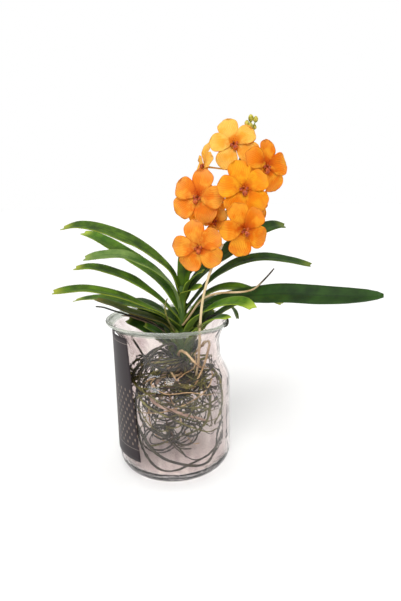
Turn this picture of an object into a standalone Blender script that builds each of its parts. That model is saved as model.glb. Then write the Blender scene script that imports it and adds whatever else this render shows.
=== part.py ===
# A vanda orchid in bloom, standing bare-rooted in a clear glass vase with its stake and hanging tag.
# The origin is the middle of the vase's flat underside, and +Z is up. The front faces -Y.
# Places and sizes are written in millimetres and turned to metres where a mesh is made.

import math
import random

import bmesh
import bpy
from mathutils import Matrix, Vector
from mathutils.geometry import interpolate_bezier

MM = 0.001
GAP = 0.3

# The vase
VASE_HEIGHT = 254.0
BODY_RADIUS = 94.0
NECK_RADIUS = 79.0
LIP_RADIUS = 99.0
WALL = 3.5
FLOOR = 14.0
FOOT_RADIUS = 60.0
CORNER_TOP = 34.0
FLOOR_CORNER = 20.0
SHOULDER_LOW = 150.0
SHOULDER_HIGH = 196.0
FLARE_START = 214.0
MOUTH_SHIFT = 7.0
MOUTH_RISE = 3.0
VASE_STEPS = 32

# The card tag on the vase's left front
TAG_FROM = 176.0
TAG_TO_TOP = 228.0
TAG_TO_BOTTOM = 238.0
TAG_TOP = 241.0
TAG_BOTTOM = 42.0
TAG_THICK = 0.8

# The stem, in the vase's mouth
STEM_X = 18.0
STEM_FOOT = 150.0
STEM_TOP = 306.0
STEM_RADIUS = 7.0
OLD_STEM_RADIUS = 11.5
OLD_STEM_TOP = 182.0
OLD_STEM_TAPER = 14.0

# The stem's radius at each height, from its rounded foot to its tip among the crown leaves.
STEM_OUTLINE = ((STEM_FOOT, 4), (STEM_FOOT + 6, 9), (STEM_FOOT + 20, OLD_STEM_RADIUS),
                (OLD_STEM_TOP, OLD_STEM_RADIUS - 1.5), (OLD_STEM_TOP + OLD_STEM_TAPER, STEM_RADIUS),
                (STEM_TOP - 6, STEM_RADIUS - 0.5), (STEM_TOP, 3.5))

LEAF_THICK = 1.5
LEAF_ROWS = 10
PETAL_THICK = 0.9
PETAL_ROWS = 4
LIP_ROWS = 2
STALK_RADIUS = 2.6
STALK_TIP_RADIUS = 1.5
STAKE_RADIUS = 2.1
# The roots' own numbers: the clearance they are bent to keep, and the length of one straight piece.
ROOT_CLEAR = 2.0
ROOT_STEP = 14.0

GREEN = (0.078, 0.195, 0.016)
DARK_GREEN = (0.026, 0.08, 0.012)
LIME = (0.22, 0.42, 0.05)
ORANGE = (0.91, 0.25, 0.004)
PALE_ORANGE = (0.94, 0.42, 0.05)
STALK_GREEN = (0.42, 0.45, 0.05)
TAN = (0.62, 0.42, 0.23)
DARK_ROOT = (0.03, 0.032, 0.008)
OLIVE_ROOT = (0.2, 0.2, 0.045)
PINK_ROOT = (0.48, 0.31, 0.22)
CARD = (0.05, 0.037, 0.042)
GLASS = (0.8, 0.78, 0.77)

# Each leaf: heading in degrees, spine as (reach, height) from the stem, width, front tilt, colour.
LEAVES = {
    "leaf_left_top": (168, ((7.4, 300), (17, 327), (42, 351), (78, 376), (127, 396), (168, 403), (201, 398)),
                      25, 26, GREEN),
    "leaf_left_lime": (152, ((8, 264), (28, 298), (60, 327), (104, 352), (150, 373), (176, 383), (198, 387)),
                       25, 24, LIME),
    "leaf_left_sheen": (192, ((8, 282), (14, 301), (27, 318), (53, 341), (88, 359), (122, 361), (151, 357)),
                        25, 24, GREEN),
    "leaf_left_middle": (183, ((8, 250), (25, 273), (51, 297), (79, 318), (111, 333), (141, 341),
                               (169, 339)), 21, 22, GREEN),
    "leaf_left_long": (204, ((8, 238), (38, 264), (67, 281), (97, 298), (125, 309), (160, 317), (202, 315)),
                       22, 20, GREEN),
    "leaf_left_low": (160, ((8, 227), (32, 253), (62, 264), (104, 272), (146, 278), (180, 275), (205, 270)),
                      19, 14, GREEN),
    "leaf_left_brown": (184, ((8, 213), (27, 242), (54, 256), (85, 267), (113, 280), (139, 290)),
                        18, 14, DARK_GREEN),
    "leaf_left_broad": (134, ((8.3, 201), (24, 225), (54, 244), (94, 259), (138, 264)),
                        30, 12, DARK_GREEN),
    "leaf_crown_upright": (70, ((8.6, 299), (14, 323), (20, 352), (24, 382)), 22, 0, GREEN),
    "leaf_crown_right": (-24, ((8, 294), (15, 312), (27, 325), (40, 332)), 22, 10, LIME),
    "leaf_crown_front": (-56, ((8, 283), (17, 298), (31, 306), (52, 310)), 23, 22, GREEN),
    "leaf_right_top": (28, ((8, 283), (22, 307), (53, 335), (79, 350), (113, 371), (152, 387), (184, 394),
                            (207, 391)), 27, 34, DARK_GREEN),
    "leaf_right_high": (2, ((8, 267), (24, 287), (46, 312), (70, 330), (96, 343), (133, 349), (171, 344),
                            (211, 334)), 21, 26, DARK_GREEN),
    "leaf_right_notched": (-7, ((8, 252), (20, 271), (37, 289), (62, 302), (90, 304), (115, 297),
                                (138, 288), (161, 276)), 21, 20, GREEN),
    "leaf_right_dark_long": (-26, ((8, 240), (34, 273), (76, 291), (128, 300), (171, 306), (221, 307),
                                   (262, 309), (306, 313)), 30, 50, DARK_GREEN),
    "leaf_right_lime": (-49, ((8.3, 216), (20, 242), (53, 271), (89, 290), (120, 299), (142, 300),
                              (158, 294)), 22, 26, LIME),
    "leaf_right_short": (-49, ((8.4, 198), (22, 223), (46, 246), (70, 262), (92, 271), (109, 272)),
                         20, 12, LIME),
    "leaf_right_hooked": (32, ((8, 224), (28, 248), (56, 262), (82, 265), (102, 253), (112, 232)),
                          20, 8, DARK_GREEN),
    "leaf_right_back": (62, ((8.3, 206), (26, 236), (56, 256), (90, 267), (124, 266)), 22, 8, GREEN),
}

# The width of a leaf along it, as a share of its full width.
LEAF_OUTLINE = ((0, 0.36), (0.1, 0.6), (0.3, 0.96), (0.5, 1), (0.75, 0.93), (0.9, 0.78), (1, 0.42))
# The width of a petal along it.
PETAL_OUTLINE = ((0, 0.22), (0.2, 0.5), (0.42, 0.86), (0.65, 1), (0.86, 0.86), (1, 0.42))

STALK = ((18, 9.6, 268), (19, 17, 292), (30, 19, 323), (55, 9, 347), (79, -2, 382), (93, 0, 425),
         (106, 2, 477), (119, 4, 521), (127, 5, 545), (129, 5, 556))

# Each bloom: centre, heading and lift of its face, spin, length of its petals, where it joins the stalk.
BLOOMS = {
    "bloom_top": ((102, -14, 522), -92, 14, 18, 40, 512),
    "bloom_left_upper": ((57, 6, 492), -162, 12, 4, 35, 488),
    "bloom_right_upper": ((148, -30, 488), -62, 4, -12, 40, 478),
    "bloom_centre": ((113, -52, 457), -88, 12, 8, 42, 470),
    "bloom_left": ((47, -28, 446), -106, 4, -18, 41, 452),
    "bloom_right": ((144, 14, 430), -30, -4, 10, 36, 440),
    "bloom_right_lower": ((112, -70, 400), -74, 0, 24, 40, 425),
    "bloom_left_lower": ((46, -46, 374), -102, -2, 14, 41, 378),
    "bloom_small_side": ((73, -19, 410), -120, -4, 20, 24, 412),
    "bloom_back_left": ((62, 46, 428), 118, 4, 0, 38, 432),
    "bloom_back_right": ((132, 56, 478), 70, 6, 10, 38, 480),
}
# A bloom's five petals: angle round its face, share of the length, width over length, set back.
TEPALS = ((90, 1.0, 0.76, 1.6), (18, 0.94, 0.84, 0.0), (162, 0.94, 0.84, 0.0),
          (-50, 1.0, 0.86, 1.6), (-130, 1.0, 0.86, 1.6))
# The small lip's three lobes: angle, length and width as shares of a petal's, set back, cup.
LIP = ((-90, 0.32, 0.24, -2.6, 6.0), (-20, 0.16, 0.15, -3.0, 3.0), (200, 0.16, 0.15, -3.0, 3.0))

STAKE = ((84, -9, 373), (73, -24, 352), (61, -43, 328), (51, -61, 294), (46, -67, 252), (44, -57, 222),
         (42, -44, 190), (38, -34, 168))

# Single roots: heading and height where each leaves the stem, its route from there, radius, colour.
ROOTS = {
    "root_loop_low": (-150, 200, ((4, -34, 222), (-16, -44, 220), (-41, -50, 192), (-52, -56, 161),
                                  (-56, -60, 128), (-56, -60, 95), (-50, -64, 66), (-40, -68, 42),
                                  (-24, -70, 24), (-2, -72, 20), (25, -68, 30), (56, -56, 40),
                                  (72, -40, 52), (80, -16, 66)), 2.1, DARK_ROOT),
    "root_loop_thick": (-168, 186, ((-22, -22, 212), (-50, -44, 190), (-66, -48, 160), (-68, -44, 126),
                                    (-64, -44, 104), (-50, -60, 78), (-32, -70, 56), (-10, -74, 42),
                                    (19, -74, 34), (46, -62, 26), (64, -46, 32), (76, -28, 56),
                                    (82, -6, 84)), 2.5, DARK_ROOT),
    "root_up_left": (-130, 172, ((-2, -44, 180), (-14, -66, 190), (-34, -62, 202), (-48, -56, 222),
                                 (-62, -40, 240)), 1.9, DARK_ROOT),
    "root_fork_low": (170, 160, ((-30, -14, 154), (-54, -34, 128), (-52, -46, 102), (-36, -58, 86),
                                 (-8, -66, 74), (11, -66, 56), (20, -64, 40)), 1.8, DARK_ROOT),
    "root_sweep_back": (-36, 160, ((46, -22, 156), (60, -34, 128), (52, -54, 92), (24, -62, 80),
                                   (-4, -64, 70), (-24, -60, 60), (-44, -50, 54)), 1.7, OLIVE_ROOT),
    "root_pink_thick": (-164, 172, ((-20, -20, 158), (-36, -50, 138), (-8, -58, 121), (29, -56, 107),
                                    (58, -40, 90)), 3.1, PINK_ROOT),
    "root_tan_upper": (-118, 192, ((12, -28, 208), (20, -36, 212), (34, -43, 201), (47, -46, 184)),
                       2.6, TAN),
    "root_tan_right": (-20, 190, ((48, -20, 212), (62, -34, 228), (57, -46, 206), (46, -52, 178),
                                  (33, -50, 150)), 2.0, TAN),
    "root_right_wall": (10, 170, ((50, 8, 176), (74, -14, 160), (80, -26, 130), (76, -30, 100),
                                  (66, -24, 78), (70, -10, 70)), 1.6, OLIVE_ROOT),
    "root_left_back": (150, 178, ((-20, 22, 190), (-52, 34, 168), (-66, 30, 128), (-56, 34, 88),
                                  (-24, 52, 60), (20, 62, 44), (52, 48, 38)), 1.9, DARK_ROOT),
    "root_aerial_right": (-88, 244, ((32, -24, 264), (48, -37, 290), (66, -45, 301), (86, -52, 305),
                                     (102, -54, 305), (114, -56, 306), (128, -58, 309),
                                     (140, -56, 321), (149, -54, 329), (159, -50, 340)), 1.7, TAN),
    "root_arch_front": (-128, 226, ((0, -30, 250), (-6, -36, 268), (-8, -36, 284), (-3, -34, 294)),
                        1.5, OLIVE_ROOT),
}

# Bunches of fine roots, fused at the root crown that they leave the stem by: the crown's two ends, seed,
# count, radius, how far out, how far round in radians and between what heights they wind, colour.
BUNCHES = {
    "roots_coils_dark": (((13.4, 9.7, 160), (9.6, 17.9, 160)), 11, 6, 1.8, (20, 40), (3.6, 5.6), (70, 108),
                         DARK_ROOT),
    "roots_tangle_olive": (((STEM_X, 0, STEM_FOOT - GAP), (STEM_X, 0, STEM_FOOT - 12)), 7, 8, 1.6,
                           (38, 72), (2.2, 4.2), (100, 168), OLIVE_ROOT),
}
CROWN_RADIUS = 3.6
# Other roots keep this much clear of where a bunch begins.
CROWN_CLEAR = 8.0


def material(name, colour, roughness=0.5, glassy=0.0):
    made = bpy.data.materials.get(name)
    if made:
        return made
    made = bpy.data.materials.new(name)
    made.use_nodes = True
    made.diffuse_color = (*colour, 1)
    shader = made.node_tree.nodes["Principled BSDF"]
    shader.inputs["Base Color"].default_value = (*colour, 1)
    shader.inputs["Roughness"].default_value = roughness
    shader.inputs["Metallic"].default_value = 0.0
    shader.inputs["Transmission Weight"].default_value = glassy
    return made


def place_object(name, mesh, finish):
    """One object in the scene, shaded smooth, with its own material."""
    made = bpy.data.objects.new(name, mesh)
    mesh.materials.clear()
    mesh.materials.append(finish)
    mesh.shade_smooth()
    bpy.context.scene.collection.objects.link(made)
    return made


def step(outline, t):
    """The value of an outline of (place, value) pairs at t, straight between its points."""
    for (t0, v0), (t1, v1) in zip(outline, outline[1:]):
        if t <= t1:
            return v0 + (v1 - v0) * (t - t0) / (t1 - t0)
    return outline[-1][1]


def smooth_path(points, spacing):
    """Points about this far apart on a smooth curve through the given ones."""
    points = [Vector(p) for p in points]
    ends = [points[0] * 2 - points[1], *points, points[-1] * 2 - points[-2]]
    dense = []
    for before, start, end, after in zip(ends, ends[1:], ends[2:], ends[3:]):
        near = start + (end - before) / 6
        far = end - (after - start) / 6
        dense += interpolate_bezier(start, near, far, end, 13)[:-1]
    dense.append(points[-1])
    return even_path(dense, spacing)


def even_path(dense, spacing):
    """The same path with its points an equal length apart."""
    lengths = [0.0]
    for a, b in zip(dense, dense[1:]):
        lengths.append(lengths[-1] + (b - a).length)
    count = max(2, round(lengths[-1] / spacing))
    path = []
    index = 0
    for k in range(count + 1):
        wanted = lengths[-1] * k / count
        while index < len(dense) - 2 and lengths[index + 1] < wanted:
            index += 1
        share = (wanted - lengths[index]) / max(lengths[index + 1] - lengths[index], 1e-9)
        path.append(dense[index].lerp(dense[index + 1], min(share, 1.0)))
    return path


def point_on(path, s):
    """The point and direction at share s of an even path."""
    place = min(max(s, 0.0), 1.0) * (len(path) - 1)
    index = min(int(place), len(path) - 2)
    return path[index].lerp(path[index + 1], place - index), (path[index + 1] - path[index]).normalized()


def sheet_mesh(name, across, rows, shape):
    """A grid bent by shape(u, v), u from 0 to 1 along it and v from -1 to 1 across it, in triangles."""
    bm = bmesh.new()
    bmesh.ops.create_grid(bm, x_segments=across, y_segments=rows, size=0.5)
    for vert in bm.verts:
        vert.co = shape(vert.co.y + 0.5, vert.co.x * 2) * MM
    bmesh.ops.triangulate(bm, faces=bm.faces)
    mesh = bpy.data.meshes.new(name)
    bm.to_mesh(mesh)
    bm.free()
    return mesh


def thicken(made, thick):
    solid = made.modifiers.new("thickness", "SOLIDIFY")
    solid.thickness = thick * MM
    solid.offset = 0.0


def tube_object(name, path, radius, finish, bevel=1, tip=1.0):
    """A round cord along a path, narrowing to a share of its radius at the end."""
    curve = bpy.data.curves.new(name, "CURVE")
    curve.dimensions = "3D"
    curve.bevel_depth = radius * MM
    curve.bevel_resolution = bevel
    curve.use_fill_caps = True
    spline = curve.splines.new("POLY")
    spline.points.add(len(path) - 1)
    for k, (point, place) in enumerate(zip(spline.points, path)):
        point.co = (*(place * MM), 1)
        point.radius = 1 + (tip - 1) * max(0.0, 2 * k / (len(path) - 1) - 1)
    curve.materials.append(finish)
    made = bpy.data.objects.new(name, curve)
    bpy.context.scene.collection.objects.link(made)
    return made


def ball_object(name, centre, size, rounds, finish):
    bm = bmesh.new()
    bmesh.ops.create_icosphere(bm, subdivisions=rounds, radius=1)
    bmesh.ops.scale(bm, vec=Vector(size) * MM, verts=bm.verts)
    bmesh.ops.translate(bm, vec=Vector(centre) * MM, verts=bm.verts)
    mesh = bpy.data.meshes.new(name)
    bm.to_mesh(mesh)
    bm.free()
    return place_object(name, mesh, finish)


def as_mesh(made):
    """The object's evaluated shape as a plain closed mesh object, in its place."""
    bpy.context.view_layer.update()
    mesh = bpy.data.meshes.new_from_object(made.evaluated_get(bpy.context.evaluated_depsgraph_get()))
    bm = bmesh.new()
    bm.from_mesh(mesh)
    bmesh.ops.transform(bm, matrix=made.matrix_world, verts=bm.verts)
    bmesh.ops.remove_doubles(bm, verts=bm.verts, dist=0.001 * MM)
    bmesh.ops.recalc_face_normals(bm, faces=bm.faces)
    bm.to_mesh(mesh)
    bm.free()
    name = made.name
    finish = made.data.materials[0]
    bpy.data.objects.remove(made)
    return place_object(name, mesh, finish)


def fuse(name, pieces, finish):
    """One closed body from shapes that cross each other."""
    pieces = [as_mesh(piece) for piece in pieces]
    others = bpy.data.collections.new(name + "_pieces")
    for piece in pieces[1:]:
        others.objects.link(piece)
    union = pieces[0].modifiers.new("union", "BOOLEAN")
    union.operation = "UNION"
    union.operand_type = "COLLECTION"
    union.collection = others
    union.solver = "MANIFOLD"
    made = as_mesh(pieces[0])
    for piece in pieces[1:]:
        bpy.data.objects.remove(piece)
    bpy.data.collections.remove(others)
    made.name = name
    made.data.materials.clear()
    made.data.materials.append(finish)
    return made


def outer_radius(z):
    """The vase's outer radius above its rounded corner."""
    if z <= SHOULDER_LOW:
        return BODY_RADIUS
    if z <= SHOULDER_HIGH:
        t = (z - SHOULDER_LOW) / (SHOULDER_HIGH - SHOULDER_LOW)
        return NECK_RADIUS + (BODY_RADIUS - NECK_RADIUS) * (1 + math.cos(math.pi * t)) / 2
    t = max(0.0, (z - FLARE_START) / (VASE_HEIGHT - FLARE_START))
    return NECK_RADIUS + (LIP_RADIUS - NECK_RADIUS) * t ** 1.7


def mouth_shift(place):
    """The mouth was blown a little off the axis, out and up on the left."""
    t = max(0.0, (place.z - SHOULDER_HIGH) / (VASE_HEIGHT - SHOULDER_HIGH))
    return place + Vector((-MOUTH_SHIFT * t ** 1.5, 0, -MOUTH_RISE * t * place.x / LIP_RADIUS))


def corner(radius, low, high, steps):
    """The rounded lower corner, from the flat underside or floor up to the wall."""
    inner = radius - (high - low)
    return [(inner + (high - low) * math.sin(math.pi / 2 * k / steps),
             high - (high - low) * math.cos(math.pi / 2 * k / steps)) for k in range(1, steps + 1)]


def make_vase():
    heights = [SHOULDER_LOW, 162, 173, 184, SHOULDER_HIGH, FLARE_START, 227, 239, 248]
    outer = [(outer_radius(z), z) for z in heights]
    inner = [(outer_radius(z) - WALL, z) for z in reversed(heights)]
    lip = [(LIP_RADIUS - 0.4, VASE_HEIGHT - 1.6), (LIP_RADIUS - 2.2, VASE_HEIGHT),
           (LIP_RADIUS - 4.4, VASE_HEIGHT - 0.6)]
    floor_corner = corner(BODY_RADIUS - WALL, FLOOR, FLOOR + FLOOR_CORNER, 3)
    profile = [(0, 0), (FOOT_RADIUS, 0), *corner(BODY_RADIUS, 0, CORNER_TOP, 4), *outer, *lip, *inner,
               *reversed(floor_corner), (BODY_RADIUS - WALL - FLOOR_CORNER, FLOOR), (0, FLOOR)]
    bm = bmesh.new()
    ring = [bm.verts.new((r, 0, z)) for r, z in profile]
    edges = [bm.edges.new(pair) for pair in zip(ring, ring[1:])]
    bmesh.ops.spin(bm, geom=ring + edges, axis=(0, 0, 1), cent=(0, 0, 0), angle=math.tau,
                   steps=VASE_STEPS, use_merge=True)
    bmesh.ops.remove_doubles(bm, verts=bm.verts, dist=0.01)
    for vert in bm.verts:
        vert.co = mouth_shift(vert.co) * MM
    bmesh.ops.recalc_face_normals(bm, faces=bm.faces)
    mesh = bpy.data.meshes.new("vase")
    bm.to_mesh(mesh)
    bm.free()
    vase = place_object("vase", mesh, material("clear glass", GLASS, 0.02, 1.0))
    vase.data.set_sharp_from_angle(angle=math.radians(50))


def make_tag():
    """A stiff card, curved round the vase, hanging straight from under the lip to the wall."""
    def shape(u, v):
        end = TAG_TO_BOTTOM + (TAG_TO_TOP - TAG_TO_BOTTOM) * u
        angle = math.radians(TAG_FROM + (end - TAG_FROM) * (v + 1) / 2)
        z = TAG_BOTTOM + (TAG_TOP - TAG_BOTTOM) * u
        clear = GAP + TAG_THICK / 2 + 0.25
        low = BODY_RADIUS + clear
        high = outer_radius(TAG_TOP) + clear + MOUTH_SHIFT * 0.75
        lift = max(0.0, (z - SHOULDER_LOW) / (TAG_TOP - SHOULDER_LOW))
        radius = low + (high - low) * lift ** 1.5
        return Vector((radius * math.cos(angle), radius * math.sin(angle), z))
    tag = place_object("hanging_tag", sheet_mesh("hanging_tag", 6, 7, shape), material("card", CARD, 0.6))
    thicken(tag, TAG_THICK)


def make_stem():
    """The old dark stem down in the vase and the green stem above it, in one piece."""
    bm = bmesh.new()
    sides = 12
    rings = []
    for height, radius in STEM_OUTLINE:
        made = bmesh.ops.create_circle(bm, segments=sides, radius=radius * MM,
                                       matrix=Matrix.Translation(Vector((STEM_X, 0, height)) * MM))
        verts = set(made["verts"])
        rings.append([edge for edge in bm.edges if set(edge.verts) <= verts])
    bmesh.ops.contextual_create(bm, geom=rings[0])
    bmesh.ops.contextual_create(bm, geom=rings[-1])
    for low, high in zip(rings, rings[1:]):
        bmesh.ops.bridge_loops(bm, edges=low + high)
    bmesh.ops.recalc_face_normals(bm, faces=bm.faces)
    mesh = bpy.data.meshes.new("stem")
    bm.to_mesh(mesh)
    bm.free()
    place_object("stem", mesh, material("stem", GREEN, 0.6))


def make_leaf(name, heading, spine, width, tilt, colour):
    """A strap leaf, channelled along its rib, arching from the stem, with a notched, uneven tip."""
    out = Vector((math.cos(math.radians(heading)), math.sin(math.radians(heading)), 0))
    path = smooth_path([Vector((STEM_X, 0, 0)) + out * reach + Vector((0, 0, z)) for reach, z in spine], 3)
    length = 3 * (len(path) - 1)

    def shape(u, v):
        s = u - (2.4 * (1 - abs(v)) + 1.8 * (1 + v)) / length * u ** 8
        place, along = point_on(path, s)
        side = along.cross(Vector((0, 0, 1))).normalized()
        turn = math.radians(tilt) * (-1 if side.y > 0 else 1) * min(1.0, (u * 2) ** 1.5)
        side = Matrix.Rotation(turn, 3, along) @ side
        up = side.cross(along)
        half = width / 2 * step(LEAF_OUTLINE, u)
        channel = 0.2 + 0.28 * max(0.0, 1 - u * 1.6)
        return place + side * half * v + up * half * channel * abs(v)
    leaf = place_object(name, sheet_mesh(name, 2, LEAF_ROWS, shape), material(name, colour, 0.4))
    thicken(leaf, LEAF_THICK)


def face_matrix(centre, heading, lift, spin):
    """A frame at the centre whose z looks along the heading and whose y is up."""
    across, up = math.radians(heading), math.radians(lift)
    facing = Vector((math.cos(across) * math.cos(up), math.sin(across) * math.cos(up), math.sin(up)))
    right = Vector((0, 0, 1)).cross(facing).normalized()
    above = facing.cross(right)
    turned = Matrix((right, above, facing)).transposed() @ Matrix.Rotation(math.radians(spin), 3, "Z")
    return Matrix.Translation(Vector(centre)) @ turned.to_4x4()


def petal_mesh(name, frame, angle, length, width, back, cup, rows):
    """A rounded petal on a narrow claw, with a waved edge and its tip bent gently back."""
    turn = Matrix.Rotation(math.radians(angle), 4, "Z")

    def shape(u, v):
        half = width / 2 * step(PETAL_OUTLINE, u)
        s = u - 0.1 * v * v * u ** 4
        wave = 0.05 * length * math.sin(5.2 * u + 1.6 * v + angle) * abs(v) * u
        height = cup * math.sin(math.pi * min(1.0, s * 0.9)) - 0.1 * length * s * s + wave - back
        return frame @ turn @ Vector((1.5 + length * s, half * v, height))
    return sheet_mesh(name, 2, rows, shape)


def make_bloom(name, centre, heading, lift, spin, length, join, stalk):
    frame = face_matrix(centre, heading, lift, spin)
    finish = material(name, PALE_ORANGE if name == "bloom_top" else ORANGE, 0.55)
    pieces = [ball_object("hub", centre, (4, 4, 4), 1, finish)]
    lobes = [(angle, share * length, share * length * wide, back, 3.0, PETAL_ROWS)
             for angle, share, wide, back in TEPALS]
    lobes += [(angle, share * length, wide * length, back, cup, LIP_ROWS)
              for angle, share, wide, back, cup in LIP]
    for lobe in lobes:
        petal = place_object("petal", petal_mesh("petal", frame, *lobe), finish)
        thicken(petal, PETAL_THICK)
        pieces.append(petal)
    tip = frame @ Vector((0, 1.0, 4.0))
    pieces.append(ball_object("column", tip, (2.6, 2.6, 2.6), 1, finish))
    # The flower's own stalk leaves its back and meets the main stalk square to its side.
    near = min(stalk, key=lambda place: abs(place.z - join))
    index = min(stalk.index(near), len(stalk) - 2)
    along = (stalk[index + 1] - stalk[index]).normalized()
    facing = frame.to_3x3() @ Vector((0, 0, 1))
    away = Vector(centre) - facing * 14 - near
    away = (away - along * away.dot(along)).normalized()
    radius = STALK_RADIUS + (STALK_TIP_RADIUS - STALK_RADIUS) * max(0.0, 2 * index / (len(stalk) - 1) - 1)
    foot = near + away * (radius + GAP + 0.2)
    route = [Vector(centre) - facing, Vector(centre) - facing * 9, foot + away * 5, foot]
    pieces.append(tube_object("pedicel", smooth_path(route, 11), 1.3, finish, 0))
    fuse(name, pieces, finish)


def make_stalk(stalk):
    """The flower stalk with the cluster of unopened buds at its tip."""
    finish = material("flower stalk", STALK_GREEN, 0.5)
    pieces = [tube_object("stalk", stalk, STALK_RADIUS, finish, 2, STALK_TIP_RADIUS / STALK_RADIUS)]
    top = stalk[-1]
    buds = ((0, 0, 4, 4.2), (-6, -2, -3, 3.6), (7, -3, 2, 3.8), (-1, -6, -8, 4.0), (6, 5, -8, 3.6))
    for dx, dy, dz, size in buds:
        pieces.append(ball_object("bud", top + Vector((dx, dy, dz)), (size, size, size * 1.4), 1, finish))
        if abs(dx) + abs(dy):
            root = stalk[-3]
            pieces.append(tube_object("twig", [root, top + Vector((dx, dy, dz))], 0.9, finish, 0))
    fuse("flower_stalk_with_buds", pieces, finish)


def inside(place, radius):
    """The place moved in from the glass, so that a root of this radius clears it."""
    wall = outer_radius(place.z) - WALL
    if place.z < FLOOR + FLOOR_CORNER:
        rise = FLOOR + FLOOR_CORNER - place.z
        wall -= FLOOR_CORNER - math.sqrt(max(0.0, FLOOR_CORNER ** 2 - rise ** 2))
    wall -= MOUTH_SHIFT * max(0.0, (place.z - SHOULDER_HIGH) / (VASE_HEIGHT - SHOULDER_HIGH)) ** 1.5
    most = wall * math.cos(math.pi / VASE_STEPS) - radius - GAP
    flat = math.hypot(place.x, place.y)
    if place.z < VASE_HEIGHT and flat > most:
        place = Vector((place.x * most / flat, place.y * most / flat, place.z))
    return Vector((place.x, place.y, max(place.z, FLOOR + radius + GAP)))


def clear_route(path, radius, placed, fixed=3):
    """The path bent clear of the cords already placed and of the glass; its first points stay."""
    shifts = [Vector() for _ in path]
    for _ in range(160):
        moved = False
        for index in range(fixed, len(path)):
            place = path[index] + shifts[index]
            for other, size in placed:
                off = place - other
                need = radius + size + ROOT_CLEAR
                if off.length < need:
                    push = off.normalized() if off.length > 0.01 else Vector((0, 0, 1))
                    place += push * (need - off.length) * 0.7
                    moved = True
            shifts[index] = inside(place, radius) - path[index]
        if not moved:
            break
        for index in range(fixed, len(path) - 1):
            middle = (shifts[index - 1] + shifts[index + 1]) / 2
            shifts[index] = shifts[index].lerp(middle, 0.2)
    return [place + shift for place, shift in zip(path, shifts)]


def samples(path, radius):
    """Close-set (place, radius) pairs that stand for a placed cord."""
    return [(place, radius) for place in even_path(path, 3)]


def make_roots(placed):
    for name, (heading, height, route, radius, colour) in ROOTS.items():
        out = Vector((math.cos(math.radians(heading)), math.sin(math.radians(heading)), 0))
        start = Vector((STEM_X, 0, height)) + out * (step(STEM_OUTLINE, height) + GAP + 0.2)
        path = clear_route(smooth_path([start, start + out * 6, *route], 5), radius, placed)
        path = [start, start + out * 4, *even_path(path[2:], ROOT_STEP)]
        tube_object(name, path, radius, material(name, colour, 0.7), 1, 0.6)
        placed += samples(path, radius)


def make_bunch(name, crown, seed, count, radius, reach, turns, band, colour, placed):
    """Fine roots that leave one root crown on the stem and wind round inside the vase."""
    draw = random.Random(seed)
    finish = material(name, colour, 0.7)
    crown = [Vector(end) for end in crown]
    pieces = [tube_object("crown", crown, CROWN_RADIUS, finish, 1)]
    new = []
    for index in range(count):
        angle = math.tau * (index + draw.random() * 0.6) / count
        turn = draw.choice((-1, 1)) * draw.uniform(*turns)
        far = draw.uniform(*reach)
        low, high = draw.uniform(*band), draw.uniform(*band)
        spread = (crown[1] - crown[0]).normalized() * 8
        spread += Vector((math.cos(angle), math.sin(angle), -0.3)) * 9
        route = [crown[0].lerp(crown[1], 0.7), crown[1] + spread]
        for k in range(1, 9):
            at = angle + turn * k / 8
            wide = far * (0.6 + 0.4 * min(1.0, k / 3)) * (1 + 0.12 * math.sin(k * 1.1 + index * 2))
            z = low + (high - low) * k / 8 + 4 * math.sin(k * 1.2 + index)
            route.append(Vector((8 + wide * math.cos(at), -4 + wide * math.sin(at), z)))
        path = even_path(clear_route(smooth_path(route, 6), radius, placed), ROOT_STEP)
        pieces.append(tube_object("fine_root", path, radius, finish, 0, 0.7))
        new += samples(path, radius)
    fuse(name, pieces, finish)
    placed += new


def main():
    for old in list(bpy.data.objects):
        bpy.data.objects.remove(old)
    make_vase()
    make_tag()
    make_stem()
    for name, leaf in LEAVES.items():
        make_leaf(name, *leaf)
    stalk = smooth_path(STALK, 15)
    make_stalk(stalk)
    for name, bloom in BLOOMS.items():
        make_bloom(name, *bloom, stalk)
    stake = smooth_path(STAKE, 14)
    tube_object("support_stake", stake, STAKE_RADIUS, material("stake", TAN, 0.7), 1)
    placed = samples(stake, STAKE_RADIUS)
    for height in range(round(STEM_FOOT), round(STEM_TOP), 4):
        placed.append((Vector((STEM_X, 0, height)), step(STEM_OUTLINE, height)))
    make_roots(placed)
    for crown, *_ in BUNCHES.values():
        placed += [(Vector(end), CROWN_RADIUS + CROWN_CLEAR) for end in crown]
    for name, bunch in BUNCHES.items():
        make_bunch(name, *bunch, placed)


main()
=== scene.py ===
import math
import random
import bmesh
import bpy
from mathutils import Matrix, Vector
from mathutils.geometry import interpolate_bezier


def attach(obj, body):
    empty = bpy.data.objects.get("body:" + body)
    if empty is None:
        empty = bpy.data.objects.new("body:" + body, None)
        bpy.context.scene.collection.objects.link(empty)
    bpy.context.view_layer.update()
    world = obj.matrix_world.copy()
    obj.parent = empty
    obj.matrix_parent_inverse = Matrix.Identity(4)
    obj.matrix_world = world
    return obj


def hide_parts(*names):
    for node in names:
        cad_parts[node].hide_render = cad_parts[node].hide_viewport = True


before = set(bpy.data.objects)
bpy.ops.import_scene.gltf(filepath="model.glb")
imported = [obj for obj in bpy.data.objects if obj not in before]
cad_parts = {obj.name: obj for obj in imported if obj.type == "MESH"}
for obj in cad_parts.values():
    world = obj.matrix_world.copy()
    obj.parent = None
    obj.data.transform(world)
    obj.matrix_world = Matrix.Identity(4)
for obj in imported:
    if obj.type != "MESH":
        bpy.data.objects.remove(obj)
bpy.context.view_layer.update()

# A vanda orchid that stands bare-rooted in a clear glass vase. Numbers in the dictionaries are millimetres
# and degrees, in the frame's own axes: +Z up, -Y towards the viewer.

mm = 0.001
print("stage: frame is in,", len(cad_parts), "nodes")


# small tools

# settings of a Mix node and of a Map Range node that many finishes share
ofColours = {"data_type": "RGBA"}
eased = {"interpolation_type": "SMOOTHSTEP"}


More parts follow.
